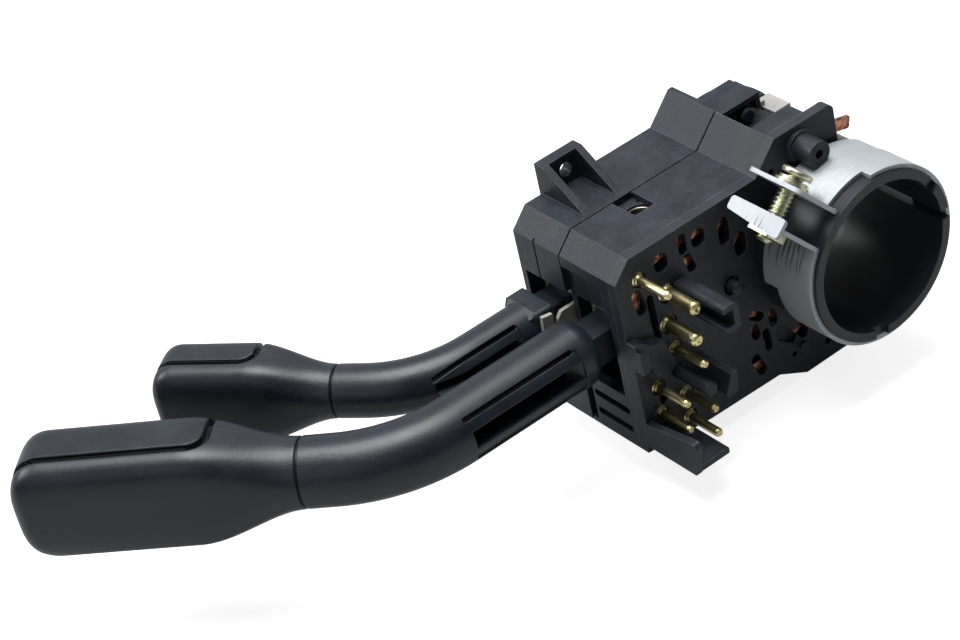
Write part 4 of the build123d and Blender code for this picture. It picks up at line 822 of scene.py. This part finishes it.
def makeGrip(look):
    # section at distance s: |t / T|^n + |h / H|^n = 1, sunk along its normal by the groove and the
    # parting line; faces near f = 0 make the groove's floor, painted dark as painted shade, those above it
    # the cap and those below it the shell
    turn = np.radians(look["bend"][2])
    along = np.array([np.cos(turn), -np.sin(turn), 0])
    side = np.array([np.sin(turn), np.cos(turn), 0])
    neck = np.array([look["bend"][0], look["bend"][1], look["level"]]) + look["neck"] * along
    phi = gripAngles(look)
    s, halfH, halfT, power = gripSections(look)
    reach = (np.abs(np.cos(phi) / halfT) ** power + np.abs(np.sin(phi) / halfH) ** power) ** (-1 / power)
    t, h = reach * np.cos(phi), reach * np.sin(phi)
    centre = neck + s[:, None] * along
    flat = centre + t[..., None] * side + h[..., None] * np.array([0, 0, 1])
    aroundStep = np.roll(flat, -1, 0) - np.roll(flat, 1, 0)
    outward = np.cross(aroundStep, np.gradient(flat, axis=1))
    outward /= np.maximum(np.linalg.norm(outward, axis=2, keepdims=True), 1e-9)
    outward *= np.sign(np.sum(outward * (flat - centre), axis=2).mean())
    f = insideCap(look, s, t)
    points = flat - sinking(look, s, t, f)[..., None] * outward
    points = np.vstack([points.reshape(-1, 3), neck + (look["length"] + look["bow"]) * along]) / 1000
    rounds, steps = f.shape
    grids = [gridQuads(rounds, steps), gridFan(rounds, steps, steps - 1, rounds * steps)]
    f = np.append(f.reshape(-1), look["capEdge"])
    depths = [f[part].mean(1) for part in grids]
    low, high = look["grooveShadeInset"] - look["grooveHalf"], look["grooveHalf"] + look["grooveShadeRise"]
    shell, cap, grooveShade = 0, 1, 2
    zones = [np.where((d > low) & (d < high), grooveShade, np.where(d > 0, cap, shell)) for d in depths]
    for zone, node in enumerate(look["nodes"] + (look["grooveName"],)):
        keep = [part[zoneOf == zone] for part, zoneOf in zip(grids, zones)]
        used = np.unique(np.concatenate([part.reshape(-1) for part in keep]))
        faces = [np.searchsorted(used, part) for part in keep]
        corners = points[used]
        a, b, c = (corners[faces[0][:, k]] for k in range(3))
        fromNeck = (a + c) / 2 - neck / 1000
        radial = fromNeck - np.dot(fromNeck, along)[:, None] * along
        if np.sum(np.cross(b - a, c - a) * radial) < 0:
            faces = [part[:, ::-1] for part in faces]
        name = "".join(word.capitalize() if k else word for k, word in enumerate(node.split("_")))
        faceLists = [face for part in faces for face in part.tolist()]
        # the groove's floor takes the ring's dark, dull finish as painted shade
        piece = newPiece(name, corners, faceLists, ringPlastic if zone == grooveShade else stalkPlastic)
        wall = piece.modifiers.new("wall", "SOLIDIFY")
        wall.thickness = look["wall"] / 1000
        wall.offset = -1.0
        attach(piece, look["body"])
        if zone != grooveShade:
            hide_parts(node)


makeGrip(mainGrip)
makeGrip(smallGrip)
print("grips made")

# floor, sky and lamps
studio = {
    "floorZ": -0.0385,
    "floorHalf": 6.0,
    "floorColour": (0.38, 0.38, 0.38),
    "floorRoughness": 0.9,
    "floorSpecular": 0.1,
    "floorGlow": 0.82,
    "glossyShare": 0.15,
    "skyTop": 0.63,
    "skyAxis": (-0.3, -0.48, 0.82),
    "skySpan": (0.05, 0.8),
    "skyRim": 0.02,
    "lamps": (  # name, spot, aim, size and power
        ("keyLight", (0.05, -0.15, 0.95), (0.08, -0.04, 0.0), 0.6, 15.0),
        ("fillLight", (0.9, 0.35, 0.5), (0.08, -0.04, 0.0), 0.6, 0.8),
        ("rimLight", (0.5, -0.52, 0.44), (0.0, -0.03, 0.0), 0.3, 2.6),
    ),
}


def floorPaint(look):
    # glow = camera rays + glossy share * glossy rays + transmitted rays; the paint under it takes shadows
    fixed = {"Roughness": look["floorRoughness"], "Specular_IOR_Level": look["floorSpecular"]}
    paint = Shader("floorPaint", Emission_Strength=look["floorGlow"], **fixed)
    seen = paint.add("ShaderNodeLightPath", output="Is Camera Ray")
    seen = seen + paint.add("ShaderNodeLightPath", output="Is Glossy Ray") * look["glossyShare"]
    seen = seen + paint.add("ShaderNodeLightPath", output="Is Transmission Ray")
    glow = paint.blend(seen, (0.0, 0.0, 0.0), (1.0, 1.0, 1.0))
    return paint.use(Base_Color=look["floorColour"], Emission_Color=glow)


def makeFloor(look):
    # one square, half its side to each way from the middle
    points = np.array([[-1, -1, 0], [1, -1, 0], [1, 1, 0], [-1, 1, 0]]) * look["floorHalf"]
    points[:, 2] = look["floorZ"]
    floor = newPiece("floor", points, [(0, 1, 2, 3)], floorPaint(look), smooth=False)


def makeSky(look):
    # strength = eased rise of the cosine between the view ray and an axis that leans back from overhead
    world = bpy.data.worlds.new("studio")
    bpy.context.scene.world = world
    world.use_nodes = True
    made, links = world.node_tree.nodes, world.node_tree.links
    background = made["Background"]
    background.inputs["Color"].default_value = (1, 1, 1, 1)
    way = made.new("ShaderNodeTexCoord")
    cosine = made.new("ShaderNodeVectorMath")
    cosine.operation = "DOT_PRODUCT"
    cosine.inputs[1].default_value = look["skyAxis"]
    fade = made.new("ShaderNodeMapRange")
    fade.interpolation_type = "SMOOTHSTEP"
    for k, value in enumerate((*look["skySpan"], look["skyRim"], look["skyTop"])):
        fade.inputs[k + 1].default_value = value
    links.new(way.outputs["Generated"], cosine.inputs[0])
    links.new(cosine.outputs["Value"], fade.inputs[0])
    links.new(fade.outputs[0], background.inputs["Strength"])


def softLamp(name, spot, aim, size, power):
    # a square lamp at the spot, its -Z turned towards the aim
    lamp = bpy.data.lights.new(name, "AREA")
    lamp.size = size
    lamp.energy = power
    holder = bpy.data.objects.new(name, lamp)
    bpy.context.collection.objects.link(holder)
    holder.location = spot
    holder.rotation_euler = (Vector(aim) - Vector(spot)).to_track_quat("-Z", "Y").to_euler()


makeFloor(studio)
makeSky(studio)
for lampLook in studio["lamps"]:
    softLamp(*lampLook)
print("floor, sky and lamps made")

# camera: its place, and its right, down and ahead as directions in the object's frame
cameraLook = {
    "place": (0.3618, 0.4277, 0.3969),
    "right": (-0.7727, 0.6048, -0.1927),
    "down": (0.4841, 0.3651, -0.7952),
    "ahead": (-0.4106, -0.7078, -0.5749),
    "lens": 105.0,
    "sensor": 36.0,
    "clipStart": 0.01,
}


def makeCamera(look):
    # columns of its matrix = right, up and back, then its place
    right, down, ahead = (Vector(look[name]) for name in ("right", "down", "ahead"))
    turn = Matrix((right, -down, -ahead)).transposed()
    camera = bpy.data.objects.new("camera", bpy.data.cameras.new("camera"))
    bpy.context.collection.objects.link(camera)
    camera.matrix_world = Matrix.Translation(look["place"]) @ turn.to_4x4()
    camera.data.lens = look["lens"]
    camera.data.sensor_width = look["sensor"]
    camera.data.clip_start = look["clipStart"]
    bpy.context.scene.camera = camera


makeCamera(cameraLook)
bpy.context.scene.view_settings.view_transform = "Standard"
print("camera ready")
